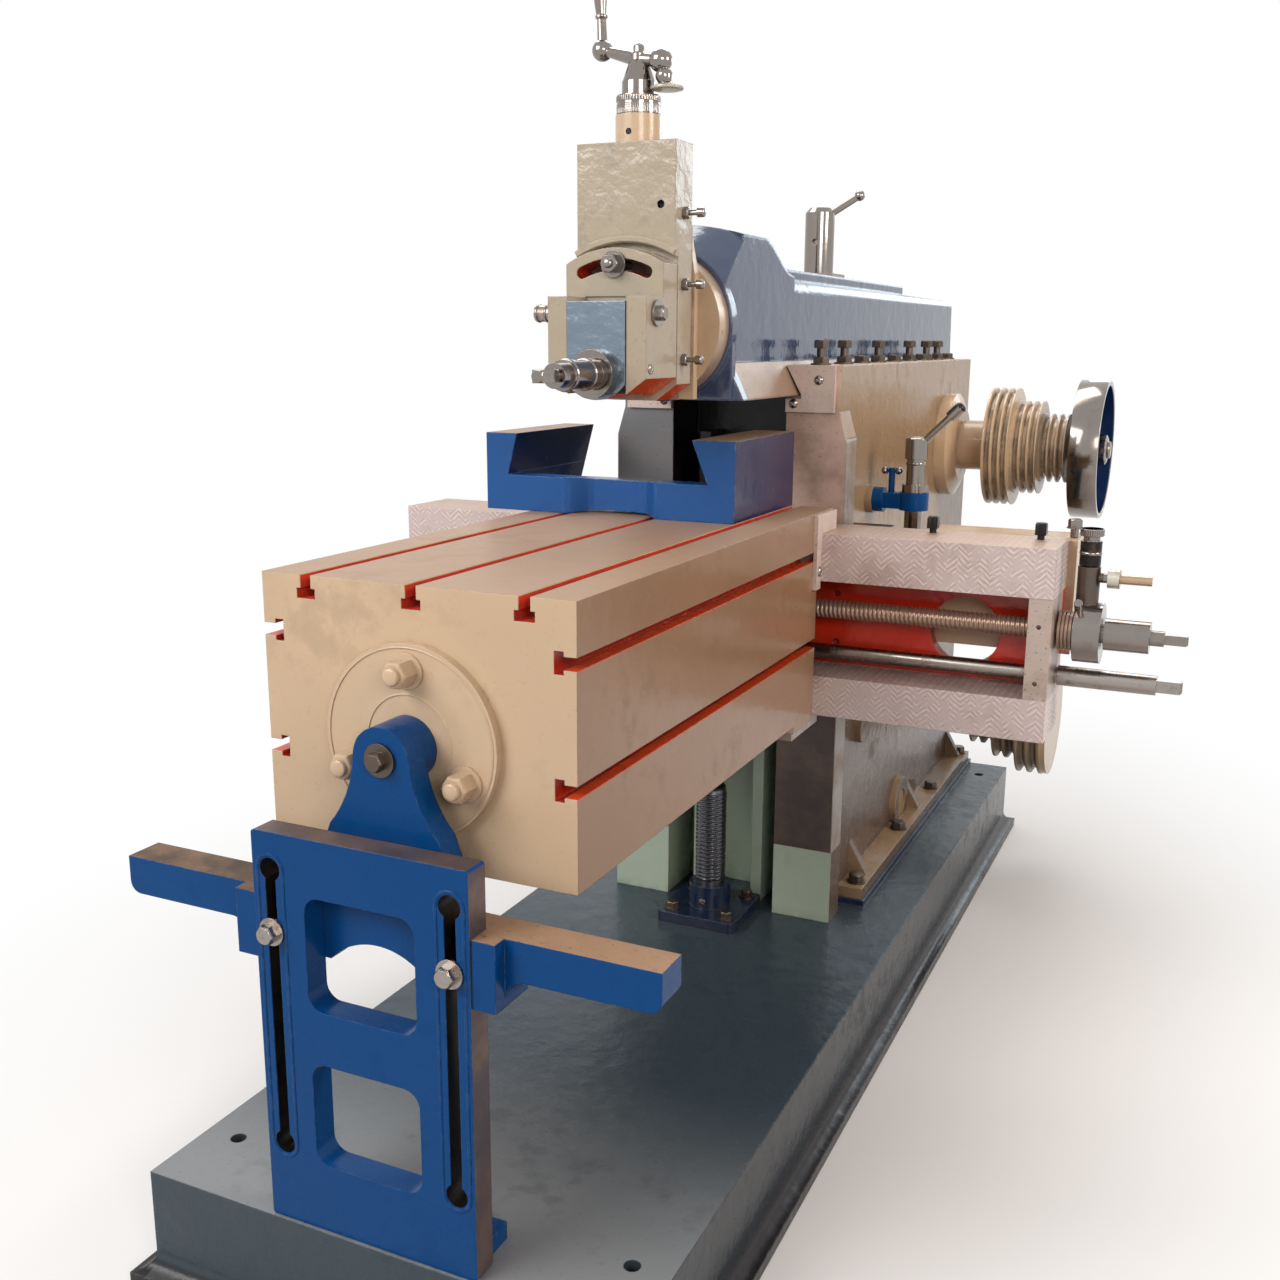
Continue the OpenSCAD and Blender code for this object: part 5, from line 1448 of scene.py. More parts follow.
@dataclass
class Frame(Assembly):
    """Base, column, supports and everything fixed to them.

    Attributes:
        gib_x: Half spacing of the bolt rows on the ram gibs.
        gib_rows: Their places along the gibs.
        lock_rows: Those that carry a lock nut.
        gib_top, lock_top: Heights of their heads and of the lock nuts.
        foot_x, foot_rows, foot_top: The same for the column's foot bolts.
        screw_y: Place of the lifting screw.
        foot_screws: Half spacing of the screws of its foot plate.
        wiper_spots: X and Z of the wiper plates' screws.
        flange: X, Y and Z of the drive flange's face.
        flange_circle: Radius on which its screws stand.
        frame_face: Front of the support frame.
        slot_x: Half spacing of the support frame's slots.
        slot_z: Heights of the slots' ends.
        lever_at: Axis of the shift lever.
        lever_bend: Height at which its arm leaves the post.
        lever_arm: Length of the arm, which rises by 45 degrees.
        bracket_cut, bracket_lift: The brackets' points below the one rise by the other.
        lever_cut, lever_lift: The same for the lever's foot.
        clamp_at: Axis of the clamping screw's handle.
    """

    name: str = "frame"
    gib_x: float = 160
    gib_rows: tuple = (45, 190, 310, 430, 560, 690, 810, 852, 960, 1070)
    lock_rows: tuple = (45, 190, 430, 690, 852, 960)
    gib_top: float = 1237
    lock_top: float = 1267
    foot_x: float = 240
    foot_rows: tuple = (144, 480, 790, 1111)
    foot_top: float = 214
    screw_y: float = -50
    foot_screws: float = 56
    wiper_spots: tuple = ((174, 1199), (128, 1157))
    flange: tuple = (237.4, 870, 1030)
    flange_circle: float = 101
    frame_face: float = -1157.4
    slot_x: float = 128
    slot_z: tuple = (274, 642)
    lever_at: tuple = (303, 210)
    lever_bend: float = 1068
    lever_arm: float = 112
    bracket_cut: float = 700
    bracket_lift: float = 130
    lever_cut: float = 600
    lever_lift: float = 124
    clamp_at: tuple = (258, 210, 1024)
    finishes: dict = field(
        default_factory=lambda: {
            "base_casting": F_BASE,
            "column_casting": F_COLUMN,
            "frame_bolts": F_BOLT,
            "ram_gib_strips": F_GIB,
            "way_wiper_plates": F_PLATE,
            "drive_bearing": F_CREAM,
            "support_frame": F_FRAME,
            "screw_foot": F_FOOT,
            "elevating_sleeve": F_SLEEVE,
            "lever_brackets": F_BLUE,
            "motor": F_MOTOR,
            "mechanism_pins": F_PINS,
            "shift_lever": F_BRIGHT_Z,
            "clamp_screw": F_BLUE,
        }
    )

    def build(self) -> None:
        """Adds the sleeve's thread, bolt tops, slot borders, and the lever with its brackets and ends."""
        sleeve = threaded(236, 424, 27.05, 29.2, 8.0, 48, bore=26.0).moved(UP, (0, self.screw_y, 0))
        self.add("sleeve_thread", sleeve, "frame", F_SLEEVE, "bright_steel")
        self._bolts()
        lands = [strip(stadium(s * self.slot_x, *self.slot_z, 19.0), 5.0, 1.4, True) for s in BOTH]
        lands = copies(merged(lands), FRONT, [(0, self.frame_face, 0)])
        self.add("slot_lands", lands, "frame", F_BLUE, "blue_paint")
        brackets = shell_of("lever_brackets", self.bracket_cut, self.bracket_lift)
        self.add("brackets_seen", brackets, "frame", F_BLUE, "blue_paint", "lever_brackets")
        lever = shell_of("shift_lever", self.lever_cut, self.lever_lift)
        self.add("lever_seen", lever, "shift_lever", F_BRIGHT_Z, "bright_steel", "shift_lever")
        x, y = self.lever_at
        arm = self.lever_arm / math.sqrt(2)
        knob = dome(11, 8).moved((1, 0, 1), (x + arm, y, self.lever_bend + arm))
        self.add("lever_knob_end", knob, "shift_lever", F_BLACK, "dark_steel")
        end = dome(21, 5).moved(UP, (x, y, self.lever_bend + 18))
        self.add("lever_post_end", end, "shift_lever", F_CHROME, "chrome")
        band = hoop(17, 6, 2.2).moved(UP, (x, y, self.lever_bend - 28))
        self.add("lever_post_band", band, "shift_lever", F_CHROME, "chrome")
        x, y, z = self.clamp_at
        knobs = copies(ball(7.0), UP, [(x + s * 14, y, z) for s in BOTH])
        self.add("clamp_screw_balls", knobs, "clamp_screw", F_CHROME, "chrome")
        pin = screw_head(7.0, 3.0).moved(FRONT, (0, self.screw_y - 40.4, 201))
        self.add("foot_set_screw", pin, "frame", F_BOLT, "dark_steel")

    def _bolts(self) -> None:
        """Tops of all hexagon bolts, and the screws of the wiper plates and the drive flange."""
        gibs = [(s * self.gib_x, y, self.gib_top) for s in BOTH for y in self.gib_rows]
        locks = [(s * self.gib_x, y, self.lock_top) for s in BOTH for y in self.lock_rows]
        feet = [(s * self.foot_x, y, self.foot_top) for s in BOTH for y in self.foot_rows]
        square = self.foot_screws
        corners = [(s * square, self.screw_y + t * square, 198) for s in BOTH for t in BOTH]
        tops = [
            copies(prism_cap(15), UP, gibs + feet),
            copies(prism_cap(14), UP, locks),
            copies(prism_cap(12, rise=2.0), UP, corners),
            copies(prism_cap(14), UP, [(s * 100, -1089.5, 204) for s in BOTH]),
        ]
        self.add("bolt_tops", merged(tops), "frame", F_BOLT, "dark_steel")
        spots = [(s * x, -8.8, z) for s in BOTH for x, z in self.wiper_spots]
        screws = copies(screw_head(8.5, 5.0), FRONT, spots)
        self.add("wiper_screws", screws, "frame", F_BRIGHT_Y, "bright_steel")
        x, y, z = self.flange
        radius = self.flange_circle
        turns = np.radians([45, 135, 225, 315])
        spots = [(x, y + radius * math.cos(a), z + radius * math.sin(a)) for a in turns]
        screws = copies(screw_head(9.5, 6.0), RIGHT, spots)
        self.add("flange_screws", screws, "frame", F_BOLT, "dark_steel")


@dataclass
class Rail(Assembly):
    """Cross rail with its screws, shaft, ratchet arm and box.

    Attributes:
        feed_at: Y and Z of the cross feed screw.
        lift_at: Y and Z of the elevating shaft.
        top: Height of the rail's top.
        feed_end, lift_end: X of the two shafts' square ends.
        feed_cut: X range of the feed screw's thread.
        lift_cut: Height range of the lifting screw's thread.
        bolt_x: Places of the two square-headed bolts.
        nut_at: X and Y of the bolt with a bright nut.
        keeper_x, keeper_rows: Places of the screws in the keepers.
        plunger_x: Place of the ratchet plunger along the screw.
    """

    name: str = "cross rail"
    feed_at: tuple = (-72, 801)
    lift_at: tuple = (-50, 718)
    top: float = 944
    feed_end: float = 823
    lift_end: float = 820
    feed_cut: tuple = (-582, 582)
    lift_cut: tuple = (260, 616)
    bolt_x: tuple = (398, 580)
    nut_at: tuple = (624, 45)
    keeper_x: float = 274
    keeper_rows: tuple = (671, 782.5, 894)
    plunger_x: float = 666
    finishes: dict = field(
        default_factory=lambda: {
            "cross_rail_casting": F_RAIL,
            "rail_end_blocks": F_END,
            "feed_box": F_CREAM,
            "rail_keepers": F_BOLT,
            "rail_clamp_bolts": F_CLAMPS,
            "elevating_screw": F_TURNED_Z,
            "elevating_shaft": F_TURNED_X,
            "cross_feed_screw": F_SCREW,
            "feed_pawl_arm": F_PAWL,
            "feed_plunger": F_PLUNGER,
        }
    )

    def build(self) -> None:
        """Adds both threads, clamping bolts, keeper screws, shaft ends and the plunger's ribbed cap."""
        y, z = self.feed_at
        cut = threaded(*self.feed_cut, 15.06, 16.9, 8.0, 32).moved(RIGHT, (0, y, z))
        self.add("feed_screw_thread", cut, "cross_feed_screw", F_SCREW, "bright_steel")
        lift = threaded(*self.lift_cut, 19.06, 20.2, 10.0, 32).moved(UP, (0, self.lift_at[0], 0))
        self.add("lift_screw_thread", lift, "elevating_screw", F_SLEEVE, "bright_steel")
        stems = [(x, -34, self.top) for x in self.bolt_x]
        tops = [(x, -34, self.top + 26) for x in self.bolt_x]
        heads = [
            copies(turned([(6, -1), (6, 9)], 24), UP, stems),
            copies(square_cap(9, 2.5, 18), UP, tops),
            turned([(7, -3), (7, 12), (14, 12.2), (14, 14)], 32).moved(UP, (*self.nut_at, self.top)),
            prism_cap(12, deep=12).moved(UP, (*self.nut_at, self.top + 26)),
        ]
        self.add("rail_bolts", merged(heads), "cross_rail", F_CLAMPS, "dark_steel", "rail_clamp_bolts")
        backs = [(s * self.keeper_x, 99.8, h) for s in BOTH for h in self.keeper_rows]
        screws = copies(screw_head(14, 7), REAR, backs)
        self.add("keeper_screws", screws, "cross_rail", F_BOLT, "dark_steel")
        end = square_cap(8).moved(RIGHT, (self.feed_end, y, z))
        self.add("feed_square_end", end, "cross_feed_screw", F_BRIGHT_X, "bright_steel")
        end = square_cap(10).moved(RIGHT, (self.lift_end, *self.lift_at))
        self.add("lift_square_end", end, "elevating_shaft", F_BRIGHT_X, "bright_steel")
        cap = ribbed(18.1, 12, 30, 0.9).moved(UP, (self.plunger_x, y, z + 160))
        self.add("plunger_cap", cap, "feed_plunger", F_BRIGHT_Z, "bright_steel")
        band = hoop(17, 5, 1.0).moved(UP, (self.plunger_x, y, z + 132))
        self.add("plunger_band", band, "feed_plunger", F_BRIGHT_Z, "bright_steel")


@dataclass
class Table(Assembly):
    """Table, its front support pieces and the loose casting.

    Attributes:
        flange_z: Height of the flange's centre.
        flange_y: Front face of the flange.
        nut_circle: Radius on which the three nuts stand.
        nut_turns: Their angles in degrees.
        step_radii: Radii of the flange's turned steps.
        wiper_screw: X, Y and Z of the screws in the table's wipers.
        pivot_at: Y and Z of the pivot bolt's head.
        beam_bolt: X and Z of the clamping bolts.
        beam_ends: Y of their front and rear heads.
    """

    name: str = "table"
    flange_z: float = 787
    flange_y: float = -1042
    nut_circle: float = 90
    nut_turns: tuple = (90, -27, 203)
    step_radii: tuple = (61, 119)
    wiper_screw: tuple = (231.8, -150, 880)
    pivot_at: tuple = (-1116.4, 782)
    beam_bolt: tuple = (128, 562)
    beam_ends: tuple = (-1173.4, -1071.1)
    finishes: dict = field(
        default_factory=lambda: {
            "table_casting": F_TABLE,
            "table_keeper": F_BARE,
            "table_wipers": F_PLATE,
            "front_flange": F_CREAM_FINE,
            "flange_nuts": F_CREAM_FINE,
            "feed_nut": F_OILED,
            "support_bracket": F_BLUE,
            "pivot_bolt": F_BOLT,
            "dovetail_casting": F_CASTING,
            "support_beam": F_BEAM,
            "beam_bolts": F_TURNED_Y,
        }
    )

    def build(self) -> None:
        """Adds nut tops, stud ends, turned steps, wiper screws, the loose casting and bolt tops."""
        z, r = self.flange_z, self.nut_circle
        spots = [(r * math.cos(a), z + r * math.sin(a)) for a in np.radians(self.nut_turns)]
        nuts = [
            copies(prism_cap(18, rise=3.0), FRONT, [(x, self.flange_y - 27, h) for x, h in spots]),
            copies(dome(11, 3), FRONT, [(x, self.flange_y - 35, h) for x, h in spots]),
        ]
        self.add("flange_nut_tops", merged(nuts), "table", F_CREAM_FINE, "cream_paint")
        face = (0, self.flange_y + 0.2, z)
        steps = [hoop(radius, 3.0, 1.2).moved(FRONT, face) for radius in self.step_radii]
        self.add("flange_steps", merged(steps), "table", F_CREAM_FINE, "cream_paint")
        x, y, h = self.wiper_screw
        sides = [screw_head(9, 5.5).moved((s, 0, 0), (s * x, y, h)) for s in BOTH]
        self.add("table_wiper_screws", merged(sides), "table", F_BRIGHT_X, "bright_steel")
        self._casting()
        top = prism_cap(12.5).moved(FRONT, (0, *self.pivot_at))
        self.add("pivot_bolt_top", top, "table", F_BOLT, "dark_steel")
        x, z = self.beam_bolt
        ends = [
            copies(prism_cap(13), way, [(s * x, y, z) for s in BOTH])
            for way, y in zip((FRONT, REAR), self.beam_ends)
        ]
        self.add("beam_bolt_tops", merged(ends), "support_beam", F_TURNED_Y, "bright_steel")

    def _casting(self) -> None:
        """The loose casting: two undercut arms, joined in front by a low wall with a set-back middle.

        The wall's front runs back by a smooth step at both ends, and its lower edge lifts as half a sine.
        """
        low, high, front, rear = 980.3, 1111.3, -348.0, -60.0
        top = low + 60
        block_rear = front + 42
        left, right = -158, 13
        flank, set_back, wall = 38, 34, 38
        arms = [
            bar([(-310, low), (-285, low), (-250, high), (-310, high)], front, rear),
            bar([(126, low), (149, low), (149, high), (74, high)], front, rear),
            bar([(-285, low), (left, low), (left, top), (-269, top)], front, block_rear),
            bar([(right, low), (126, low), (102, top), (right, top)], front, block_rear),
        ]
        x = np.linspace(left, right, 41)
        t = np.clip(np.minimum(x - left, right - x) / flank, 0, 1)
        step = t * t * (3 - 2 * t)
        y = front + set_back * step
        foot = low + 5 * np.sin(math.pi * (x - left) / (right - left))
        head = top - 3 * step
        corners = [(x, y, foot), (x, y + wall, foot), (x, y + wall, head), (x, y, head)]
        arms.append(lofted(np.stack([np.stack(c, -1) for c in corners], 1)))
        self.add("casting_seen", merged(arms), "table", F_CASTING, "blue_paint", "dovetail_casting")


@dataclass
class Head(Assembly):
    """Ram with its clamp, swivel plate, tool slide, crank and clapper box.

    Attributes:
        feed_y: Place of the down feed screw.
        slide_top: Height of the top of the tool slide.
        apron_z: Height of the pivot that the clapper box swings on.
        hinge_at: Y and Z of the clapper's hinge.
        post_z: Height of the tool post.
        post_end: Front of the tool post's screw.
        clamp_ball, clamp_way: Place and direction of the ball on the ram clamp's lever.
        screw_y, screw_rows: Place and heights of the gib screws.
        lip_radius, lip_turns: Radius and range, in degrees, of the lip over the apron.
        collar_up, crank_up: Heights of the collar and the crank over the slide.
        ticks: Graduations on the collar.
        crank_turn: Angle in radians at which the crank stands at rest.
    """

    name: str = "ram and head"
    feed_y: float = -397
    slide_top: float = 1556
    apron_z: float = 1250
    hinge_at: tuple = (-505, 1306)
    post_z: float = 1218
    post_end: float = -715
    clamp_ball: tuple = (77.4, 533.2, 1566.9)
    clamp_way: tuple = (0.8066, 0.262, 0.53)
    screw_y: float = -409.5
    screw_rows: tuple = (1454, 1350, 1238)
    lip_radius: float = 167
    lip_turns: tuple = (60.2, 119.8)
    collar_up: float = 43
    crank_up: float = 122
    ticks: int = 60
    crank_turn: float = math.radians(12)
    finishes: dict = field(
        default_factory=lambda: {
            "ram_casting": F_RAM,
            "ram_clamp_plate": F_BRIGHT_Z,
            "ram_link": F_OILED,
            "ram_clamp_lever": F_CHROME,
            "swivel_head": F_SWIVEL,
            "head_gib": F_BARE,
            "gib_screws": F_BRIGHT_X,
            "tool_slide": F_SLIDE,
            "feed_bearing": F_CREAM_FINE,
            "downfeed_screw": F_TURNED_Z,
            "graduated_collar": F_CHROME,
            "ball_crank": F_CHROME,
            "clapper_box": F_BOX,
            "apron_bolt": F_BRIGHT_Y,
            "hinge_pin": F_TURNED_X,
            "clapper_block": F_CLAPPER,
            "tool_post": F_BRIGHT_Y,
            "tool_post_screw": F_BRIGHT_Y,
        }
    )

    def build(self) -> None:
        """Adds the pieces of the slide, the crank, the clapper box and the ram clamp."""
        self._slide()
        self._crank()
        self._box()
        end = ball(11).moved(self.clamp_way, self.clamp_ball)
        self.add("clamp_lever_ball", end, "ram_clamp", F_CHROME, "chrome")

    def _slide(self) -> None:
        """Side screws, the lip over the apron, the apron nut and the oil hole."""
        y = self.screw_y
        tops = [
            copies(prism_cap(9, rise=1.8), RIGHT, [(90, y, z) for z in self.screw_rows]),
            copies(dome(7, 3), RIGHT, [(114, y, z) for z in self.screw_rows]),
        ]
        self.add("gib_screw_ends", merged(tops), "tool_slide", F_BRIGHT_X, "bright_steel")
        a = np.radians(np.linspace(*self.lip_turns, 25))
        lip = strip(ring(self.lip_radius, a, 0)[:, :2], 12.0, 5.0, False)
        lip = lip.moved(FRONT, (0, -440.8, self.apron_z))
        self.add("slide_lip", lip, "tool_slide", F_SLIDE, "cream_paint")
        z = self.apron_z + 128
        end = dome(7, 3).moved(FRONT, (0, -504, z))
        nut = merged([prism_cap(15, rise=3.0).moved(FRONT, (0, -497.9, z)), end])
        self.add("apron_nut_top", nut, "tool_slide", F_BRIGHT_Y, "bright_steel")
        hole = turned([(4.6, -2), (4.6, 0.6), (3.9, 1.0), (3.2, 0.2)], 32)
        hole = hole.moved(FRONT, (0, self.feed_y - 34.8, self.slide_top + 16))
        self.add("oil_hole", hole, "tool_slide", F_BLACK, "dark_steel")

    def _crank(self) -> None:
        """The collar's graduations and ribs, and the crank itself.

        The graduated band is a drum whose radius drops by a third of a millimetre over each tick.
        """
        base = self.slide_top + self.collar_up
        a = np.linspace(0, math.tau, self.ticks * 6, endpoint=False)
        deep = np.where(np.arange(len(a)) % 6 == 0, 0.7, 0.0)
        rows = ((32.9, 0, 0), (33.5, 0.4, 0), (33.5, 1.5, 1), (33.5, 13, 1), (33.5, 14, 0), (32.9, 14.4, 0))
        rings = [ring(r - share * deep, a, height) for r, height, share in rows]
        dial = lofted(np.stack(rings)).moved(UP, (0, self.feed_y, base))
        self.add("collar_dial", dial, "downfeed", F_CHROME, "chrome")
        grip = ribbed(33.1, 9, 48, 0.9).moved(UP, (0, self.feed_y, base + 17))
        self.add("collar_ribs", grip, "downfeed", F_CHROME, "chrome")
        self._handle()

    def _handle(self) -> None:
        """The crank: hub and nut, two arms, handle with its ball, and the counterweight's turned lumps.

        It is laid out with its arms along X, then turned about the feed screw.
        """
        bulb = [(10, 8), (9, 14), (12.4, 19), (13, 24), (11, 30), (9, 34), (12, 38)]
        grip = [(9, -8), (7.6, 4), (6.9, 34), (9.6, 37), (9.6, 39.5), (8, 41), (9.4, 52), (12, 78)]
        grip += [(13, 95), (12.4, 101), (10.4, 105.6), (6.6, 108.6), (2, 109.8)]
        left, right = (-70, 0, 20), (41, 0, -6)
        pieces = [
            turned([(11.5, -3.6), (12.6, -2), (12.6, 7), (10.5, 9.6)], 40),
            prism_cap(9, rise=2.0, deep=9).moved(UP, (0, 0, 17.4)),
            dome(6, 4).moved(UP, (0, 0, 19)),
            turned([(11, 0), (9.4, 30), (7.4, 58), (7.4, 66)], 32).moved(left, (0, 0, 0)),
            ball(16).moved(UP, left),
            turned(grip, 40).moved((-0.052, 0, 0.9986), (-70, 0, 30)),
            turned([(10.5, 0), (9, 34)], 32).moved((0.99, 0, -0.139), (0, 0, 0)),
            ball(17.4).moved(UP, right),
            turned(bulb, 36).moved((0.27, 0, -0.963), right),
            turned([(20, 0), (24.4, 1.2), (25, 3), (24.4, 5), (16, 8.4)], 56).moved(UP, (53, 0, -49)),
        ]
        whole = merged(pieces)
        c, s = math.cos(self.crank_turn), math.sin(self.crank_turn)
        swing = np.array([[c, -s, 0], [s, c, 0], [0, 0, 1]])
        at = np.array([0, self.feed_y, self.slide_top + self.crank_up])
        whole = Shell(whole.points @ swing + at, whole.quads, whole.tris)
        self.add("crank_seen", whole, "downfeed", F_CRANK, "chrome", "ball_crank")

    def _box(self) -> None:
        """Hinge pin bands, cheek screws, and the tool post's rings and screw head."""
        y, z = self.hinge_at
        bands = copies(hoop(12.5, 5, 1.4), RIGHT, [(x, y, z) for x in (-114, -99)])
        nut = prism_cap(11, rise=2.0).moved(RIGHT, (94.9, y, z))
        self.add("hinge_pin_bands", merged([bands, nut]), "clapper_box", F_BRIGHT_X, "bright_steel")
        cheeks = [screw_head(8, 4.0).moved((s, 0, 0), (s * 80.8, -524, 1226)) for s in BOTH]
        self.add("cheek_screws", merged(cheeks), "clapper_box", F_BRIGHT_X, "bright_steel")
        rings = copies(hoop(22, 6, 1.8), FRONT, [(0, y, self.post_z) for y in (-580, -636)])
        self.add("tool_post_rings", rings, "clapper", F_BRIGHT_Y, "bright_steel")
        head = square_cap(9).moved(FRONT, (0, self.post_end, self.post_z))
        self.add("tool_screw_top", head, "tool_post_screw", F_BRIGHT_Y, "bright_steel")


@dataclass
class Drive(Assembly):
    """Shaft, pulleys, handwheel, gears and rocker arm.

    Attributes:
        shaft_at: Y and Z of the drive shaft.
        nut_x: Outer face of the handwheel's nut.
    """

    name: str = "drive"
    shaft_at: tuple = (870, 1030)
    nut_x: float = 576.2
    finishes: dict = field(
        default_factory=lambda: {
            "drive_shaft": F_TURNED_X,
            "cone_pulley": F_PULLEY,
            "handwheel": F_WHEEL,
            "bull_gear": F_OILED,
            "crank_block": F_OILED,
            "rocker_arm": F_OILED,
            "motor_pulley": F_PULLEY_LOW,
        }
    )

    def build(self) -> None:
        """Adds the dished handwheel, the nut's chamfer and the threaded end of the shaft.

        The wheel's outline (radius, X) goes round the rim, in along the web's outer face, round the
        hub and out along the inner face.
        """
        rim = [(154, 514), (155, 516), (155, 574), (154, 576), (144.6, 576), (143, 574.4)]
        web = [(143, 544), (138, 538), (44, 538), (36, 545)]
        hub = [(36, 559), (35, 560), (25.4, 560), (25.4, 500), (35, 500), (36, 501)]
        back = [(36, 520), (44, 526), (138, 526), (143, 520), (143, 515.6), (144.6, 514)]
        wheel = turned(rim + web + hub + back, 128, Ends.LOOP).moved(RIGHT, (0, *self.shaft_at))
        self.add("wheel_seen", wheel, "drive", F_WHEEL, "bright_steel", "handwheel")
        nut = prism_cap(34, rise=3.5).moved(RIGHT, (self.nut_x, *self.shaft_at))
        stub = merged([threaded(-4, 9, 18.0, 19.6, 3.0, 40), dome(17, 2).moved(UP, (0, 0, 8.8))])
        stub = stub.moved(RIGHT, (self.nut_x + 1, *self.shaft_at))
        self.add("wheel_nut_top", merged([nut, stub]), "drive", F_TURNED_X, "bright_steel")


# Camera, light, floor
@dataclass(frozen=True)
class Lamp:
    """One area light.

    Attributes:
        name: Object name.
        at: Place in metres.
        to: The point that it looks at.
        size: Width and height in metres.
        watts: Power.
        tint: Linear colour.
    """

    name: str
    at: tuple
    to: tuple
    size: tuple
    watts: float
    tint: tuple = (1.0, 1.0, 1.0)

    def build(self) -> None:
        """Adds the light."""
        data = bpy.data.lights.new(self.name, "AREA")
        data.shape = "RECTANGLE"
        data.size, data.size_y = self.size
        data.energy = self.watts
        data.color = self.tint
        made = bpy.data.objects.new(self.name, data)
        way = Vector(self.to) - Vector(self.at)
        made.matrix_world = Matrix.Translation(self.at) @ way.to_track_quat("-Z", "Y").to_matrix().to_4x4()
        made.visible_camera = False
        bpy.context.scene.collection.objects.link(made)


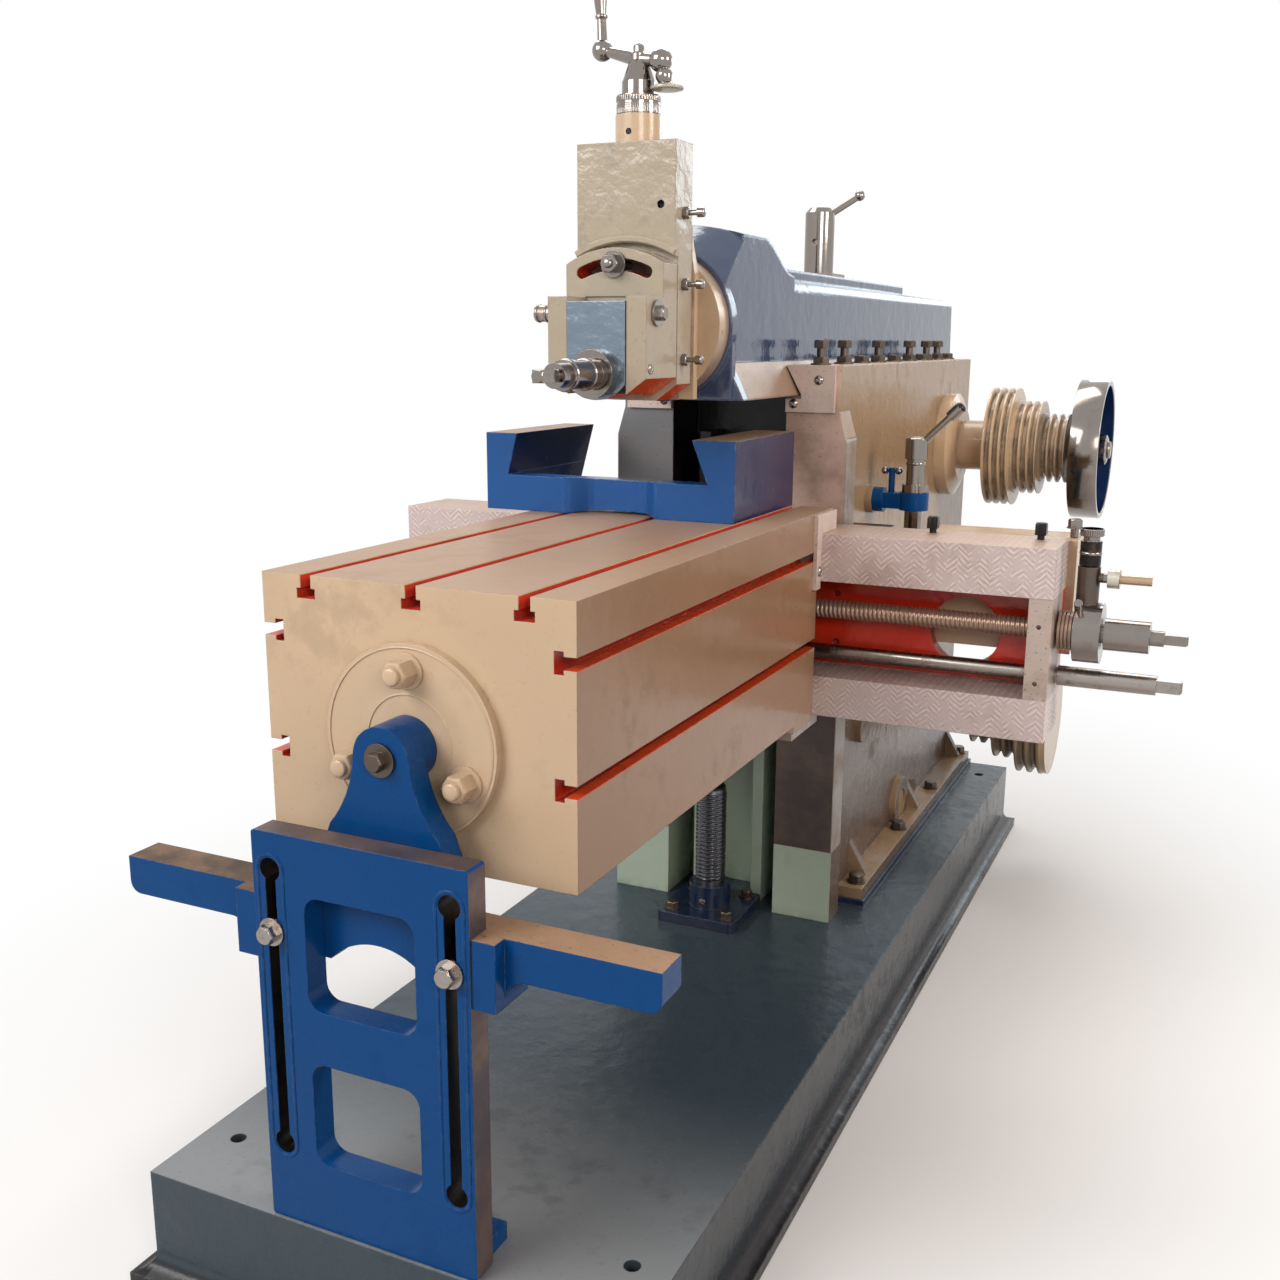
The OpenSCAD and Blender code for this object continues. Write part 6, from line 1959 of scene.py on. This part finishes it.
@dataclass(frozen=True)
class Studio:
    """Camera, lights, floor and world.

    Attributes:
        eye: Camera position in metres.
        yaw: Turn about Z in radians; 0 looks along +Y.
        pitch: Tilt down in radians.
        roll: Roll in radians.
        lens: Focal length in millimetres on a 36 mm sensor.
        lamps: The area lights.
    """

    eye: tuple = (0.9159, -2.3343, 1.2681)
    yaw: float = 0.43854
    pitch: float = 0.22152
    roll: float = 0.00573
    lens: float = 37.519
    lamps: tuple = (
        Lamp("key_left", (-2.2, -4.0, 3.4), (0.0, -0.5, 0.8), (3.0, 2.4), 158.0, (1.0, 0.98, 0.95)),
        Lamp("fill_right", (2.6, -3.6, 2.3), (0.2, 0.0, 0.9), (1.6, 1.2), 52.0, (1.0, 0.95, 0.9)),
        Lamp("ceiling_rear", (-0.8, 1.6, 4.2), (0.0, 0.2, 0.9), (3.2, 1.6), 84.0, (1.0, 0.97, 0.94)),
        Lamp("window_rear", (1.2, 5.0, 2.5), (0.0, 0.0, 1.3), (2.8, 1.1), 34.0, (0.78, 0.91, 1.0)),
        Lamp("drive_right", (2.5, -0.2, 2.1), (0.4, 0.87, 1.0), (0.9, 0.9), 34.0, (1.0, 0.9, 0.8)),
    )

    def camera(self) -> None:
        """Places the camera as the photograph's camera was fitted."""
        cy, sy = math.cos(self.yaw), math.sin(self.yaw)
        cp, sp = math.cos(self.pitch), math.sin(self.pitch)
        forward = Vector((-sy * cp, cy * cp, -sp))
        right0 = Vector((cy, sy, 0.0))
        up0 = right0.cross(forward)
        right = right0 * math.cos(self.roll) + up0 * math.sin(self.roll)
        up = up0 * math.cos(self.roll) - right0 * math.sin(self.roll)
        data = bpy.data.cameras.new("camera")
        data.lens = self.lens
        data.sensor_width = 36.0
        data.clip_start, data.clip_end = 0.05, 60.0
        cam = bpy.data.objects.new("camera", data)
        m = Matrix((right, up, -forward)).transposed().to_4x4()
        m.translation = Vector(self.eye)
        cam.matrix_world = m
        bpy.context.scene.collection.objects.link(cam)
        bpy.context.scene.camera = cam

    def _seen(self, g: Graph) -> bpy.types.NodeSocket:
        """Tells the rays that show the background from those that light the machine.

        Args:
            g: The graph of the floor or the world.

        Returns:
            1 for what the camera sees, also as a reflection or through glass.
        """
        path = g.node("ShaderNodeLightPath")
        seen = g.math("MAXIMUM", path.outputs["Is Camera Ray"], path.outputs["Is Glossy Ray"])
        return g.math("MAXIMUM", seen, path.outputs["Is Transmission Ray"])

    def world(self) -> None:
        """White to the camera and in reflections; to the rest a soft light, warmer from the right."""
        world = bpy.data.worlds.new("room")
        g = fresh_graph(world)
        part = g.parts(g.node("ShaderNodeTexCoord").outputs["Generated"])
        side = g.colour(g.ramp(part[0], -0.2, 0.6), (0.40, 0.40, 0.41, 1.0), (0.26, 0.21, 0.18, 1.0))
        seen = self._seen(g)
        back = g.node("ShaderNodeBackground")
        g.put(back.inputs[0], g.colour(seen, side, WHITE))
        back.inputs[1].default_value = 1.0
        leave = g.node("ShaderNodeOutputWorld")
        g.put(leave.inputs[0], back.outputs[0])
        bpy.context.scene.world = world

    def floor(self) -> None:
        """A plain pale floor that isn't part of the object.

        It keeps the object's shadow, and fades to white with the distance from the object's middle.
        """
        size = 14000.0
        flat = np.array([(-size, -size, 0), (size, -size, 0), (size, size, 0), (-size, size, 0)], float)
        sheet = Shell(flat - np.array([0, 0, 0.5]), np.array([[0, 1, 2, 3]]), np.empty((0, 3), int))
        made = sheet.object("floor")
        mat = bpy.data.materials.new("floor_white")
        g = fresh_graph(mat)
        seen = self._seen(g)
        pale = g.node("ShaderNodeBsdfDiffuse")
        g.put(pale.inputs["Color"], g.colour(seen, (0.34, 0.31, 0.28, 1.0), (0.82, 0.82, 0.82, 1.0)))
        white = g.node("ShaderNodeEmission")
        away = g.vector("LENGTH", g.stretch(g.node("ShaderNodeTexCoord").outputs["Object"], 1.0, 0.62, 0.0))
        fade = g.math("MULTIPLY", g.ramp(away, 0.55, 1.7), seen)
        both = g.node("ShaderNodeMixShader")
        g.put(both.inputs[0], fade)
        g.put(both.inputs[1], pale.outputs[0])
        g.put(both.inputs[2], white.outputs[0])
        leave = g.node("ShaderNodeOutputMaterial")
        g.put(leave.inputs[0], both.outputs[0])
        made.data.materials.append(mat)

    def build(self) -> None:
        """Sets up everything that isn't the machine."""
        bpy.context.scene.view_settings.view_transform = "Standard"
        self.camera()
        for lamp in self.lamps:
            lamp.build()
        self.world()
        self.floor()


def main() -> None:
    """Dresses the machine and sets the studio."""
    assemblies = [Frame(), Rail(), Table(), Head(), Drive()]
    for assembly in assemblies:
        assembly.dress()
    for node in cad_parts.values():
        shade_by_angle(node)
    left = set(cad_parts) - {n for a in assemblies for n in a.finishes}
    if left:
        LOG.warning("nodes without a finish: %s", sorted(left))
    Studio().build()


if __name__ == "__main__":
    main()
